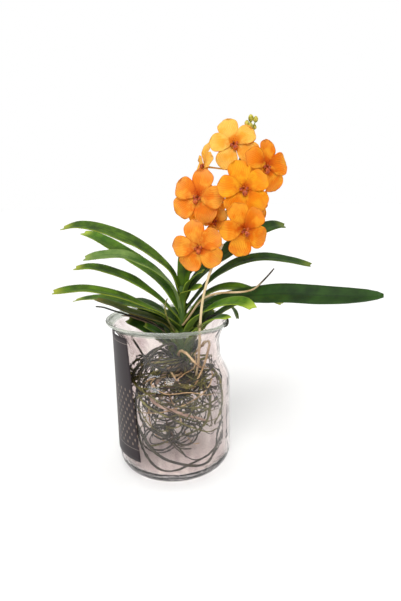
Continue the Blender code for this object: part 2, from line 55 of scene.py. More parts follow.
def linear(hexColour):
    # an sRGB hex value as the linear colour that the shader wants
    parts = [int(hexColour[k:k + 2], 16) / 255 for k in (1, 3, 5)]
    return (*[c / 12.92 if c <= 0.04045 else ((c + 0.055) / 1.055) ** 2.4 for c in parts], 1.0)


def setInputs(tree, node, inputs):
    # each input gets its value, or a link from a socket or a node. A Mix gives its colour third
    for key, value in inputs.items():
        if isinstance(value, bpy.types.Node):
            value = value.outputs[2 if value.bl_idname == "ShaderNodeMix" else 0]
        if isinstance(value, bpy.types.NodeSocket):
            tree.links.new(value, node.inputs[key])
        else:
            node.inputs[key].default_value = value


def addNode(tree, kind, settings, inputs):
    # one shader node with its settings and its inputs
    node = tree.nodes.new("ShaderNode" + kind)
    for key, value in settings.items():
        setattr(node, key, value)
    setInputs(tree, node, inputs)
    return node


def newMaterial(name, values):
    # a Principled material with its plain values on the shader itself, and its coordinates
    made = bpy.data.materials.new(name)
    made.use_nodes = True
    tree = made.node_tree
    shader = tree.nodes["Principled BSDF"]
    setInputs(tree, shader, values)
    return made, tree, shader, addNode(tree, "TexCoord", {}, {})


def placePiece(name, mesh, finishes, replaced, rides="root"):
    # puts a finished mesh in the scene, on its body, in place of the CAD nodes that it stands for
    piece = bpy.data.objects.new(name, mesh)
    mesh.materials.clear()
    for finish in finishes:
        mesh.materials.append(finish)
    mesh.shade_smooth()
    bpy.context.scene.collection.objects.link(piece)
    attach(piece, rides)
    if replaced:
        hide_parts(*replaced)
    return piece


def meshFrom(bm, name):
    mesh = bpy.data.meshes.new(name)
    bm.to_mesh(mesh)
    bm.free()
    return mesh


def thicken(piece, thick, backMaterial=0):
    # real thickness for a sheet, half to each side, with its own finish on the back if it has one
    wall = piece.modifiers.new("thickness", "SOLIDIFY")
    wall.thickness = thick * mm
    wall.offset = 0.0
    wall.material_offset = backMaterial


def ease(value, low, high):
    # 0 below low, 1 above high, and a soft step between
    t = min(max((value - low) / (high - low), 0.0), 1.0)
    return t * t * (3 - 2 * t)


def along(outline, t):
    # the value of an outline of (place, value) pairs at t, straight between its points
    for (t0, v0), (t1, v1) in zip(outline, outline[1:]):
        if t <= t1:
            return v0 + (v1 - v0) * (t - t0) / (t1 - t0)
    return outline[-1][1]


def evenPath(dense, spacing):
    # the same path with its points an equal length apart
    lengths = [0.0]
    for a, b in zip(dense, dense[1:]):
        lengths.append(lengths[-1] + (b - a).length)
    count = max(2, round(lengths[-1] / spacing))
    path = []
    index = 0
    for k in range(count + 1):
        wanted = lengths[-1] * k / count
        while index < len(dense) - 2 and lengths[index + 1] < wanted:
            index += 1
        share = (wanted - lengths[index]) / max(lengths[index + 1] - lengths[index], 1e-9)
        path.append(dense[index].lerp(dense[index + 1], min(share, 1.0)))
    return path


def smoothPath(points, spacing):
    # a smooth curve through the given points
    points = [Vector(p) for p in points]
    ends = [points[0] * 2 - points[1], *points, points[-1] * 2 - points[-2]]
    dense = []
    for before, start, end, after in zip(ends, ends[1:], ends[2:], ends[3:]):
        near = start + (end - before) / 6
        far = end - (after - start) / 6
        dense += interpolate_bezier(start, near, far, end, 17)[:-1]
    dense.append(points[-1])
    return evenPath(dense, spacing)


def pointOn(path, s):
    # the point and the direction at share s of an even path
    place = min(max(s, 0.0), 1.0) * (len(path) - 1)
    index = min(int(place), len(path) - 2)
    share = place - index
    before = path[max(index - 1, 0)]
    after = path[min(index + 2, len(path) - 1)]
    direction = (path[index + 1] - before).lerp(after - path[index], share)
    return path[index].lerp(path[index + 1], share), direction.normalized()


def addSheet(bm, across, rows, shape):
    # a grid bent by shape(u, v): u from 0 to 1 along it, v from -1 to 1 across it
    made = bmesh.ops.create_grid(bm, x_segments=across, y_segments=rows, size=0.5, calc_uvs=True)
    for vert in made["verts"]:
        vert.co = shape(vert.co.y + 0.5, vert.co.x * 2) * mm


def newSheetMesh():
    bm = bmesh.new()
    bm.loops.layers.uv.new("UVMap")
    return bm


def tubesMesh(name, cords, sides=3):
    # round cords, each a path with a radius at each of its points, as one mesh
    curve = bpy.data.curves.new(name, "CURVE")
    curve.dimensions = "3D"
    curve.bevel_depth = 1.0
    curve.bevel_resolution = sides
    curve.use_fill_caps = True
    for path, radii in cords:
        spline = curve.splines.new("POLY")
        spline.points.add(len(path) - 1)
        for point, place, radius in zip(spline.points, path, radii):
            point.co = (*(place * mm), 1)
            point.radius = radius * mm
    holder = bpy.data.objects.new(name + "Curve", curve)
    bpy.context.scene.collection.objects.link(holder)
    bpy.context.view_layer.update()
    made = bpy.data.meshes.new_from_object(holder.evaluated_get(bpy.context.evaluated_depsgraph_get()))
    bpy.data.objects.remove(holder)
    bpy.data.curves.remove(curve)
    bm = bmesh.new()
    bm.from_mesh(made)
    bmesh.ops.remove_doubles(bm, verts=bm.verts, dist=0.001 * mm)
    bmesh.ops.recalc_face_normals(bm, faces=bm.faces)
    bm.to_mesh(made)
    bm.free()
    made.name = name
    return made


def cordAlong(route, spacing, thickness):
    # a smooth cord: its path, and a radius at each point from the point's number and its share of the way
    path = smoothPath(route, spacing)
    last = len(path) - 1
    return path, [thickness(k, k / last) for k in range(last + 1)]


def turnedShape(profile, steps, shaped):
    # (radius, height) points spun round the axis, then each vertex put where shaped says
    bm = bmesh.new()
    ring = [bm.verts.new((r, 0, z)) for r, z in profile]
    edges = [bm.edges.new(pair) for pair in zip(ring, ring[1:])]
    bmesh.ops.spin(bm, geom=ring + edges, axis=(0, 0, 1), cent=(0, 0, 0), angle=math.tau, steps=steps,
                   use_merge=True)
    bmesh.ops.remove_doubles(bm, verts=bm.verts, dist=0.01)
    for vert in bm.verts:
        vert.co = shaped(vert.co) * mm
    bmesh.ops.recalc_face_normals(bm, faces=bm.faces)
    return bm


# camera, light and floor

cameraSettings = {"place": (0.048, -0.775, 0.455), "pitchDown": 0.22, "roll": -0.02, "focalPixels": 491,
                  "framePixels": 601}
lightSettings = {"sunStrength": 2.0, "sunAngle": 36, "sunTurn": (42, 2, -9), "fillPower": 1.1,
                 "windowPlace": (-0.68, -0.95, 0.55), "windowAim": (0.05, 0, 0.3),
                 "windowSize": (0.42, 0.16), "windowColour": (0.82, 0.9, 1.0), "skyBright": 0.74,
                 "skyDim": 0.28, "floorRadius": 14, "floorDrop": 0.0004}


def makeCamera():
    camera = bpy.data.objects.new("camera", bpy.data.cameras.new("camera"))
    pitch, roll = cameraSettings["pitchDown"], cameraSettings["roll"]
    ahead = Vector((0, math.cos(pitch), -math.sin(pitch)))
    right = Vector((1, 0, 0))
    above = right.cross(ahead)
    across = right * math.cos(roll) + above * math.sin(roll)
    up = above * math.cos(roll) - right * math.sin(roll)
    turned = Matrix((across, up, -ahead)).transposed().to_4x4()
    camera.matrix_world = Matrix.Translation(cameraSettings["place"]) @ turned
    lens = camera.data
    lens.sensor_fit = "VERTICAL"
    lens.sensor_height = 36
    lens.lens = 36 * cameraSettings["focalPixels"] / cameraSettings["framePixels"]
    lens.clip_start = 0.01
    bpy.context.scene.collection.objects.link(camera)
    bpy.context.scene.camera = camera


def makeLight():
    sun = bpy.data.objects.new("sun", bpy.data.lights.new("sun", "SUN"))
    sun.data.energy = lightSettings["sunStrength"]
    sun.data.angle = math.radians(lightSettings["sunAngle"])
    sun.rotation_euler = [math.radians(angle) for angle in lightSettings["sunTurn"]]
    bpy.context.scene.collection.objects.link(sun)
    # a small window-like lamp at the upper left gives the glass and the leaves their highlights
    window = bpy.data.objects.new("window", bpy.data.lights.new("window", "AREA"))
    window.data.shape = "RECTANGLE"
    window.data.size, window.data.size_y = lightSettings["windowSize"]
    window.data.energy = lightSettings["fillPower"]
    window.data.color = lightSettings["windowColour"]
    window.location = lightSettings["windowPlace"]
    aim = Vector(lightSettings["windowAim"]) - window.location
    window.rotation_euler = aim.to_track_quat("-Z", "Y").to_euler()
    bpy.context.scene.collection.objects.link(window)
    # the sky is bright above and behind, dimmer behind the viewer, so that the glass shows its edges
    world = bpy.data.worlds.new("studio")
    bpy.context.scene.world = world
    world.use_nodes = True
    tree = world.node_tree
    place = addNode(tree, "TexCoord", {}, {})
    parts = addNode(tree, "SeparateXYZ", {}, {0: place.outputs["Generated"]})
    toBack = addNode(tree, "MapRange", eased,
                     {"Value": parts.outputs["Y"], "From Min": -0.7, "From Max": 0.2})
    toTop = addNode(tree, "MapRange", eased,
                    {"Value": parts.outputs["Z"], "From Min": 0.15, "From Max": 0.75})
    most = addNode(tree, "Math", {"operation": "MAXIMUM"}, {0: toBack, 1: toTop})
    strength = addNode(tree, "MapRange", {},
                       {"Value": most, "To Min": lightSettings["skyDim"],
                        "To Max": lightSettings["skyBright"]})
    # the backdrop itself is white
    path = addNode(tree, "LightPath", {}, {})
    seen = addNode(tree, "Math", {"operation": "MAXIMUM"}, {0: strength, 1: path.outputs["Is Camera Ray"]})
    setInputs(tree, tree.nodes["Background"], {"Strength": seen, "Color": (1, 1, 1, 1)})


def makeFloor():
    bm = bmesh.new()
    bmesh.ops.create_circle(bm, cap_ends=True, segments=64, radius=lightSettings["floorRadius"])
    bmesh.ops.translate(bm, vec=(0, 0, -lightSettings["floorDrop"]), verts=bm.verts)
    floor = bpy.data.objects.new("floor", meshFrom(bm, "floor"))
    # matt white painted board: even, with a breath of tone so that it isn't one flat value
    finish, tree, shader, place = newMaterial("matt white board", {
        "Roughness": 0.85, "Specular IOR Level": 0.1})
    tone = addNode(tree, "TexNoise", {}, {"Vector": place.outputs["Object"], "Scale": 3, "Detail": 2})
    mixed = addNode(tree, "Mix", ofColours, {0: tone, 6: linear("#FAF9F8"), 7: linear("#FDFDFC")})
    setInputs(tree, shader, {"Base Color": mixed})
    floor.data.materials.append(finish)
    bpy.context.scene.collection.objects.link(floor)


bpy.context.scene.view_settings.view_transform = "Standard"
makeCamera()
makeLight()
makeFloor()
print("stage: camera, light and floor")


# the vase: blown glass with a heavy floor, a shoulder and a flared lip

vaseSettings = {"height": 254, "body": 94, "neck": 79, "lip": 99, "wall": 3.5, "floor": 14, "foot": 60,
                "cornerTop": 34, "floorCorner": 20, "shoulderLow": 150, "shoulderHigh": 196,
                "flareStart": 214, "mouthShift": 7, "mouthRise": 3, "frontRise": 2.5, "wallRows": 26,
                "turns": 128, "bead": 2.2, "beadBelow": 6, "rimDepth": 7.2, "glassTint": "#F6EFEC",
                "glassReflectionStreak": "#DCCDCD", "glassEdge": "#BDB3B0", "rimDark": "#B9BFB3",
                "rimPale": "#E9ECE4"}


def vaseRadius(z):
    v = vaseSettings
    if z <= v["shoulderLow"]:
        return v["body"]
    if z <= v["shoulderHigh"]:
        t = (z - v["shoulderLow"]) / (v["shoulderHigh"] - v["shoulderLow"])
        return v["neck"] + (v["body"] - v["neck"]) * (1 + math.cos(math.pi * t)) / 2
    t = max(0.0, (z - v["flareStart"]) / (v["height"] - v["flareStart"]))
    return v["neck"] + (v["lip"] - v["neck"]) * t ** 1.7


def mouthShift(place):
    # the mouth was blown a little off the axis, out and up on the left
    v = vaseSettings
    t = max(0.0, (place.z - v["shoulderHigh"]) / (v["height"] - v["shoulderHigh"]))
    # the lip also stands a little higher at the front
    front = v["frontRise"] * t * max(0.0, -place.y / v["lip"]) ** 2
    return place + Vector((-v["mouthShift"] * t ** 1.5, 0, front - v["mouthRise"] * t * place.x / v["lip"]))


def roundCorner(radius, low, high, steps):
    inner = radius - (high - low)
    return [(inner + (high - low) * math.sin(math.pi / 2 * k / steps),
             high - (high - low) * math.cos(math.pi / 2 * k / steps)) for k in range(1, steps + 1)]


def blownGlass():
    # soda-lime glass, blown: clear, with a faint warm grey cast, lengthwise streaks (painted reflections in
    # the colour, waves in the surface) and soft rings
    finish, tree, shader, place = newMaterial("blown soda-lime glass", {
        "Roughness": 0.0, "IOR": 1.4, "Transmission Weight": 1.0})
    # painted reflections: darker pinkish streaks in the tint, some 14 mm wide and 90 mm long, stand in for
    # reflections in the glass; the same noise also waves the surface
    upward = addNode(tree, "Mapping", {}, {"Vector": place.outputs["Object"], "Scale": (70, 70, 11)})
    reflectionAndWaveStreaks = addNode(tree, "TexNoise", {}, {"Vector": upward, "Scale": 1, "Detail": 2.5})
    reflectionStreakShare = addNode(tree, "MapRange", {},
                          {"Value": reflectionAndWaveStreaks, "From Min": 0.42, "From Max": 0.72, "To Max": 0.85})
    reflectionTinted = addNode(tree, "Mix", ofColours,
                     {0: reflectionStreakShare, 6: linear(vaseSettings["glassTint"]),
                      7: linear(vaseSettings["glassReflectionStreak"])})
    # the wall is long to look through near its outline, which darkens it there
    grazing = addNode(tree, "LayerWeight", {}, {"Blend": 0.5})
    edge = addNode(tree, "MapRange", eased,
                   {"Value": grazing.outputs["Facing"], "From Min": 0.8, "From Max": 1.0, "To Max": 0.8})
    deepened = addNode(tree, "Mix", ofColours, {0: edge, 6: reflectionTinted, 7: linear(vaseSettings["glassEdge"])})
    setInputs(tree, shader, {"Base Color": deepened})
    # rings about 12 mm apart in height
    rings = addNode(tree, "Mapping", {}, {"Vector": place.outputs["Object"], "Scale": (9, 9, 80)})
    waves = addNode(tree, "TexNoise", {}, {"Vector": rings, "Scale": 1, "Detail": 1.5})
    height = addNode(tree, "Math", {"operation": "ADD"}, {0: waves, 1: reflectionAndWaveStreaks})
    bump = addNode(tree, "Bump", {}, {"Height": height, "Strength": 0.3, "Distance": 0.002})
    setInputs(tree, shader, {"Normal": bump})
    return finish


def rimGlass():
    # the fire-polished bead of the lip: thick enough to fill with light, pale and grey-green
    finish, tree, shader, place = newMaterial("fire-polished glass rim", {
        "Roughness": 0.04, "IOR": 1.45, "Transmission Weight": 0.8})
    tone = addNode(tree, "TexNoise", {}, {"Vector": place.outputs["Object"], "Scale": 60, "Detail": 2})
    mixed = addNode(tree, "Mix", ofColours,
                    {0: tone, 6: linear(vaseSettings["rimDark"]), 7: linear(vaseSettings["rimPale"])})
    setInputs(tree, shader, {"Base Color": mixed})
    return finish


def makeVase():
    v = vaseSettings
    low, high, steps = v["shoulderLow"], v["height"] - v["beadBelow"], v["wallRows"]
    heights = [low + (high - low) * k / steps for k in range(steps + 1)]
    outer = [(vaseRadius(z), z) for z in heights]
    inner = [(vaseRadius(z) - v["wall"], z) for z in reversed(heights)]
    bead = v["bead"]
    lip = [(v["lip"] - bead + bead * math.cos(a), v["height"] - bead + bead * math.sin(a))
           for a in [math.radians(-40 + 26 * k) for k in range(11)]]
    outerCorner = roundCorner(v["body"], 0, v["cornerTop"], 12)
    innerCorner = roundCorner(v["body"] - v["wall"], v["floor"], v["floor"] + v["floorCorner"], 10)
    # the blown floor bulges up a little at its middle, under a shallow hollow beneath
    profile = [(0, 1.2), (24, 0.9), (42, 0.3), (50, 0), (v["foot"], 0), *outerCorner, *outer, *lip, *inner,
               *reversed(innerCorner), (v["body"] - v["wall"] - v["floorCorner"], v["floor"]),
               (48, v["floor"] + 0.5), (24, v["floor"] + 1.4), (0, v["floor"] + 1.8)]
    bm = turnedShape(profile, v["turns"], mouthShift)
    vase = placePiece("vaseGlass", meshFrom(bm, "vaseGlass"), [blownGlass(), rimGlass()],
                      ["vase"])
    for face in vase.data.polygons:
        face.material_index = 1 if face.center.z > (v["height"] - v["rimDepth"]) * mm else 0
    # light comes straight through clear glass, on to the roots and the floor
    vase.visible_shadow = False


makeVase()
print("stage: vase")


# the hanging tag: stiff dark card, curved round the vase

tagSettings = {"from": 176, "toTop": 228, "toBottom": 238, "top": 241, "bottom": 42, "thick": 0.8,
               "card": "#30282B", "cardDark": "#282123", "footDark": "#2A2225", "fleck": "#9C8878",
               "line": "#7C716B", "columns": 8, "rows": 25, "field": (0.12, 0.6), "footShare": 0.085,
               "lineShares": (0.1, 0.955), "gap": 0.55, "across": 24, "up": 36}


def laminatedCard():
    # printed card with a matt film: even and dark, a faint sheen, small pale flecks printed in rows
    finish, tree, shader, place = newMaterial("matt laminated card", {
        "Roughness": 0.45, "Specular IOR Level": 0.25})
    parts = addNode(tree, "SeparateXYZ", {}, {0: place.outputs["UV"]})
    fibre = addNode(tree, "TexNoise", {}, {"Vector": place.outputs["Object"], "Scale": 900, "Detail": 3})
    ground = addNode(tree, "Mix", ofColours,
                     {0: fibre, 6: linear(tagSettings["cardDark"]), 7: linear(tagSettings["card"])})
    # staggered rows, 8 flecks across the card and one row every 8 mm up it
    rowPlace = addNode(tree, "Math", {"operation": "MULTIPLY"},
                       {0: parts.outputs["Y"], 1: tagSettings["rows"]})
    row = addNode(tree, "Math", {"operation": "FLOOR"}, {0: rowPlace})
    shift = addNode(tree, "Math", {"operation": "MULTIPLY"}, {0: row, 1: 0.5})
    column = addNode(tree, "Math", {"operation": "MULTIPLY_ADD"},
                     {0: parts.outputs["X"], 1: tagSettings["columns"], 2: shift})
    inRow = addNode(tree, "Math", {"operation": "FRACT"}, {0: rowPlace})
    inColumn = addNode(tree, "Math", {"operation": "FRACT"}, {0: column})
    offRow = addNode(tree, "Math", {"operation": "SUBTRACT"}, {0: inRow, 1: 0.5})
    offColumn = addNode(tree, "Math", {"operation": "SUBTRACT"}, {0: inColumn, 1: 0.5})
    # a fleck is a drop: wider at its foot, narrow at its top
    widened = addNode(tree, "Math", {"operation": "MULTIPLY_ADD"}, {0: offRow, 1: 5.0, 2: 8.5})
    wide = addNode(tree, "Math", {"operation": "MULTIPLY"}, {0: offColumn, 1: widened})
    tall = addNode(tree, "Math", {"operation": "MULTIPLY"}, {0: offRow, 1: 3.1})
    together = addNode(tree, "CombineXYZ", {}, {0: wide, 1: tall})
    size = addNode(tree, "VectorMath", {"operation": "LENGTH"}, {0: together})
    fleck = addNode(tree, "MapRange", {},
                    {"Value": size.outputs["Value"], "From Min": 0.8, "From Max": 1.1, "To Min": 0.62,
                     "To Max": 0})
    lowEdge = addNode(tree, "Math", {"operation": "GREATER_THAN"},
                      {0: parts.outputs["Y"], 1: tagSettings["field"][0]})
    highEdge = addNode(tree, "Math", {"operation": "LESS_THAN"},
                       {0: parts.outputs["Y"], 1: tagSettings["field"][1]})
    field = addNode(tree, "Math", {"operation": "MULTIPLY"}, {0: lowEdge, 1: highEdge})
    printed = addNode(tree, "Math", {"operation": "MULTIPLY"}, {0: fleck, 1: field})
    flecked = addNode(tree, "Mix", ofColours, {0: printed, 6: ground, 7: linear(tagSettings["fleck"])})
    # the darker foot with a fine line above it
    foot = addNode(tree, "Math", {"operation": "LESS_THAN"},
                   {0: parts.outputs["Y"], 1: tagSettings["footShare"]})
    darkened = addNode(tree, "Mix", ofColours, {0: foot, 6: flecked, 7: linear(tagSettings["footDark"])})
    line = addNode(tree, "Math", {"operation": "COMPARE"},
                   {0: parts.outputs["Y"], 1: tagSettings["lineShares"][0], 2: 0.0022})
    top = addNode(tree, "Math", {"operation": "COMPARE"},
                  {0: parts.outputs["Y"], 1: tagSettings["lineShares"][1], 2: 0.0022})
    lines = addNode(tree, "Math", {"operation": "MAXIMUM"}, {0: line, 1: top})
    lined = addNode(tree, "Mix", ofColours, {0: lines, 6: darkened, 7: linear(tagSettings["line"])})
    bump = addNode(tree, "Bump", {}, {"Height": fibre, "Strength": 0.08, "Distance": 0.0002})
    setInputs(tree, shader, {"Base Color": lined, "Normal": bump})
    return finish


def makeTag():
    t, v = tagSettings, vaseSettings

    def shape(u, across):
        end = t["toBottom"] + (t["toTop"] - t["toBottom"]) * u
        angle = math.radians(t["from"] + (end - t["from"]) * (across + 1) / 2)
        z = t["bottom"] + (t["top"] - t["bottom"]) * u
        clear = t["gap"] + t["thick"] / 2
        low = v["body"] + clear
        high = vaseRadius(t["top"]) + clear + v["mouthShift"] * 0.75
        lift = max(0.0, (z - v["shoulderLow"]) / (t["top"] - v["shoulderLow"]))
        radius = low + (high - low) * lift ** 1.5
        return Vector((radius * math.cos(angle), radius * math.sin(angle), z))
    bm = newSheetMesh()
    addSheet(bm, t["across"], t["up"], shape)
    tag = placePiece("hangingTag", meshFrom(bm, "hangingTag"), [laminatedCard()],
                     ["hanging_tag"])
    thicken(tag, t["thick"])


makeTag()
print("stage: tag")


# leaves: thick straps, folded along the rib, with an uneven notched tip

leafColours = {
    "mid": {"deep": "#284206", "light": "#5C8014", "tip": "#A6AE38", "back": "#658530", "shine": 0.46},
    "dark": {"deep": "#173004", "light": "#365A0E", "tip": "#6F7E2A", "back": "#46661F", "shine": 0.44},
    "night": {"deep": "#132B06", "light": "#28480F", "tip": "#2C5012", "back": "#34541A", "shine": 0.4},
    "lime": {"deep": "#3B640D", "light": "#688F20", "tip": "#B2C444", "back": "#8AA84A", "shine": 0.46},
    # the sheen tones are painted sheen: paler, greyer greens that stand in for the gloss on the leaf that
    # wears them
    "sheen": {"deep": "#3C6020", "light": "#7A954A", "tip": "#94A452", "back": "#8CA066", "shine": 0.4},
    "dried": {"deep": "#6A4A34", "light": "#B49A7C", "tip": "#8E7458", "back": "#A58A6C", "shine": 0.7},
    "brown": {"deep": "#334212", "light": "#5A5F1F", "tip": "#7C6A2C", "back": "#5C602C", "shine": 0.48},
}
leafSettings = {"thick": 1.3, "across": 10, "rows": 46, "shortRows": 28, "sheath": 26, "stemX": 18,
                "full": 1.07, "veins": 110, "clasp": "#4C6620", "tapered": "leaf_right_dark_long"}
leafOutline = ((0, 0.62), (0.1, 0.72), (0.3, 0.96), (0.5, 1), (0.75, 0.93), (0.9, 0.78), (0.96, 0.62),
               (1, 0.42))
# the one leaf whose tip isn't cut: it narrows to a soft point
taperedOutline = ((0, 0.6), (0.1, 0.7), (0.3, 0.92), (0.55, 1), (0.72, 0.95), (0.85, 0.8), (0.93, 0.6),
                  (0.98, 0.36), (1, 0.16))
# heading, (reach, height) along the rib from the stem, width, how far the front edge tips down, colours
leafTable = {
    "leaf_left_top": (168, ((7.4, 300), (17, 327), (42, 351), (78, 376), (127, 396), (168, 403), (201, 398)),
                      25, 26, "mid"),
    "leaf_left_lime": (152, ((8, 264), (28, 298), (60, 327), (104, 352), (150, 373), (176, 383), (198, 387)),
                       25, 24, "lime"),
    "leaf_left_sheen": (192, ((8, 282), (14, 301), (27, 318), (53, 341), (88, 359), (122, 361), (151, 357)),
                        25, 24, "sheen"),
    "leaf_left_middle": (183, ((8, 250), (25, 273), (51, 297), (79, 318), (111, 333), (141, 341), (169, 339)),
                         21, 22, "mid"),
    "leaf_left_long": (204, ((8, 238), (38, 264), (67, 281), (97, 298), (125, 309), (160, 317), (202, 315)),
                       22, 20, "mid"),
    "leaf_left_low": (160, ((8, 227), (32, 253), (62, 264), (104, 272), (146, 278), (180, 275), (205, 270)),
                      19, 14, "mid"),
    "leaf_left_brown": (184, ((8, 213), (27, 242), (54, 256), (85, 267), (113, 280), (139, 290)),
                        18, 14, "brown"),
    "leaf_left_broad": (134, ((8.3, 201), (24, 225), (54, 244), (94, 259), (138, 264)), 30, 12, "dark"),
    "leaf_crown_upright": (70, ((8.6, 299), (14, 323), (20, 352), (24, 382)), 22, 0, "mid"),
    "leaf_crown_right": (-24, ((8, 294), (15, 312), (27, 325), (40, 332)), 22, 10, "lime"),
    "leaf_crown_front": (-56, ((8, 283), (17, 298), (31, 306), (52, 310)), 23, 22, "mid"),
    "leaf_right_top": (28, ((8, 283), (22, 307), (53, 335), (79, 350), (113, 371), (152, 387), (184, 394),
                            (207, 391)), 27, 34, "dark"),
    "leaf_right_high": (2, ((8, 267), (24, 287), (46, 312), (70, 330), (96, 343), (133, 349), (171, 344),
                            (211, 334)), 21, 26, "dark"),
    "leaf_right_notched": (-7, ((8, 252), (20, 271), (37, 289), (62, 302), (90, 304), (115, 297),
                                (138, 288), (161, 276)), 21, 20, "mid"),
    "leaf_right_dark_long": (-26, ((8, 240), (34, 273), (76, 291), (128, 300), (171, 306), (221, 307),
                                   (262, 309), (306, 313)), 30, 50, "night"),
    "leaf_right_lime": (-49, ((8.3, 216), (20, 242), (53, 271), (89, 290), (120, 299), (142, 300),
                              (158, 294)), 22, 26, "lime"),
    "leaf_right_short": (-49, ((8.4, 198), (22, 223), (46, 246), (70, 262), (92, 271), (109, 272)),
                         20, 12, "lime"),
    "leaf_right_hooked": (32, ((8, 224), (28, 248), (56, 262), (82, 265), (102, 253), (112, 232)),
                          20, 8, "dark"),
    "leaf_right_back": (62, ((8.3, 206), (26, 236), (56, 256), (90, 267), (124, 266)), 22, 8, "mid"),
}


def leafSkin(key, back):
    # waxy living leaf: a clear cuticle over green, fine lines along it, painted shade in the rib's crease, a
    # yellowing tip
    c = leafColours[key]
    finish, tree, shader, place = newMaterial("waxy leaf " + key + (" back" if back else ""), {
        "Roughness": c["shine"] + (0.16 if back else 0.0), "Specular IOR Level": 0.22})
    parts = addNode(tree, "SeparateXYZ", {}, {0: place.outputs["UV"]})
    # soft patches some 20 mm long
    patches = addNode(tree, "TexNoise", {}, {"Vector": place.outputs["Object"], "Scale": 48, "Detail": 3})
    spread = addNode(tree, "MapRange", {}, {"Value": patches, "From Min": 0.32, "From Max": 0.68})
    low, high = (c["back"], c["back"]) if back else (c["deep"], c["light"])
    skin = addNode(tree, "Mix", ofColours, {0: spread, 6: linear(low), 7: linear(high)})
    # veins lie about 1.5 mm apart; finer ones would not show
    veinPlace = addNode(tree, "Math", {"operation": "MULTIPLY"},
                        {0: parts.outputs["X"], 1: leafSettings["veins"]})
    veins = addNode(tree, "Math", {"operation": "SINE"}, {0: veinPlace})
    veinShare = addNode(tree, "MapRange", {}, {"Value": veins, "From Min": -1, "To Min": 0, "To Max": 0.22})
    veined = addNode(tree, "Mix", ofColours, {0: veinShare, 6: skin, 7: linear(c["deep"])})
    # the rib: painted shade in the crease on the face, a pale line on the back
    fromRib = addNode(tree, "Math", {"operation": "SUBTRACT"}, {0: parts.outputs["X"], 1: 0.5})
    ribAway = addNode(tree, "Math", {"operation": "ABSOLUTE"}, {0: fromRib})
    rib = addNode(tree, "MapRange", {},
                  {"Value": ribAway, "From Min": 0.012, "From Max": 0.06, "To Min": 0.55, "To Max": 0})
    creaseShadedAndBackLined = addNode(tree, "Mix", ofColours,
                     {0: rib, 6: veined, 7: linear(c["tip"] if back else c["deep"])})
    # yellow at the tip and along the very edge
    tip = addNode(tree, "MapRange", eased,
                  {"Value": parts.outputs["Y"], "From Min": 0.91, "From Max": 1.0, "To Max": 0.85})
    edge = addNode(tree, "MapRange", {},
                   {"Value": ribAway, "From Min": 0.45, "From Max": 0.5, "To Max": 0.5})
    aged = addNode(tree, "Math", {"operation": "MAXIMUM"}, {0: tip, 1: edge})
    tipped = addNode(tree, "Mix", ofColours, {0: aged, 6: creaseShadedAndBackLined, 7: linear(c["tip"])})
    # pale and yellow-green where the leaf clasps the stem
    clasp = addNode(tree, "MapRange", eased,
                    {"Value": parts.outputs["Y"], "From Min": 0.1, "From Max": 0.26, "To Min": 0.4,
                     "To Max": 0})
    based = addNode(tree, "Mix", ofColours, {0: clasp, 6: tipped, 7: linear(leafSettings["clasp"])})
    setInputs(tree, shader, {"Base Color": based})
    raised = addNode(tree, "Math", {"operation": "MULTIPLY_ADD"}, {0: patches, 1: 3.0, 2: veins})
    bump = addNode(tree, "Bump", {}, {"Height": raised, "Strength": 0.25, "Distance": 0.0002})
    setInputs(tree, shader, {"Normal": bump})
    return finish


def leafShape(heading, rib, width, tilt, turn, notchDeep, outline=leafOutline):
    # turn is a number of its own for each leaf, so that no two wave alike
    out = Vector((math.cos(math.radians(heading)), math.sin(math.radians(heading)), 0))
    height = rib[0][1]
    sheath = leafSettings["sheath"]
    foot = ((5.6, height - sheath), (6.4, height - sheath * 0.45))
    path = smoothPath([Vector((leafSettings["stemX"], 0, 0)) + out * r + Vector((0, 0, z))
                       for r, z in (*foot, *rib)], 2)
    length = 2 * (len(path) - 1)
    bladeLength = length - sheath

    def shape(u, v):
        blade = (u * length - sheath) / bladeLength
        b = max(0.0, blade)
        notch = (2.4 * (1 - abs(v)) + 1.8 * (1 + v)) * notchDeep * b ** 8
        place, ahead = pointOn(path, u - notch / length)
        side = ahead.cross(Vector((0, 0, 1))).normalized()
        lean = math.radians(tilt) * (-1 if side.y > 0 else 1) * min(1.0, (b * 2) ** 1.5)
        side = Matrix.Rotation(lean, 3, ahead) @ side
        up = side.cross(ahead)
        half = width / 2 * along(outline, b) * (0.55 + 0.45 * ease(blade, -0.14, 0.02))
        channel = 0.28 + 0.24 * max(0.0, 1 - b * 1.6) + 0.5 * (1 - ease(blade, -0.12, 0.1))
        fold = math.sqrt(v * v + 0.012) - 0.11
        wave = 0.5 * math.sin(9 * b + turn) * abs(v) * b + 0.25 * math.sin(23 * b + 2 * turn + v) * v * v
        curl = -0.06 * v ** 4 * half
        return place + side * half * v + up * (half * channel * fold + wave + curl)
    return shape


def makeLeaf(name, heading, rib, width, tilt, key, skins, turn):
    bm = newSheetMesh()
    tapered = name == leafSettings["tapered"]
    addSheet(bm, leafSettings["across"], leafSettings["rows"],
             leafShape(heading, rib, width * leafSettings["full"], tilt, turn, 0.0 if tapered else 1.0,
                       taperedOutline if tapered else leafOutline))
    leaf = placePiece(name + "_blade", meshFrom(bm, name), skins[key],
                      [name])
    thicken(leaf, leafSettings["thick"], 1)


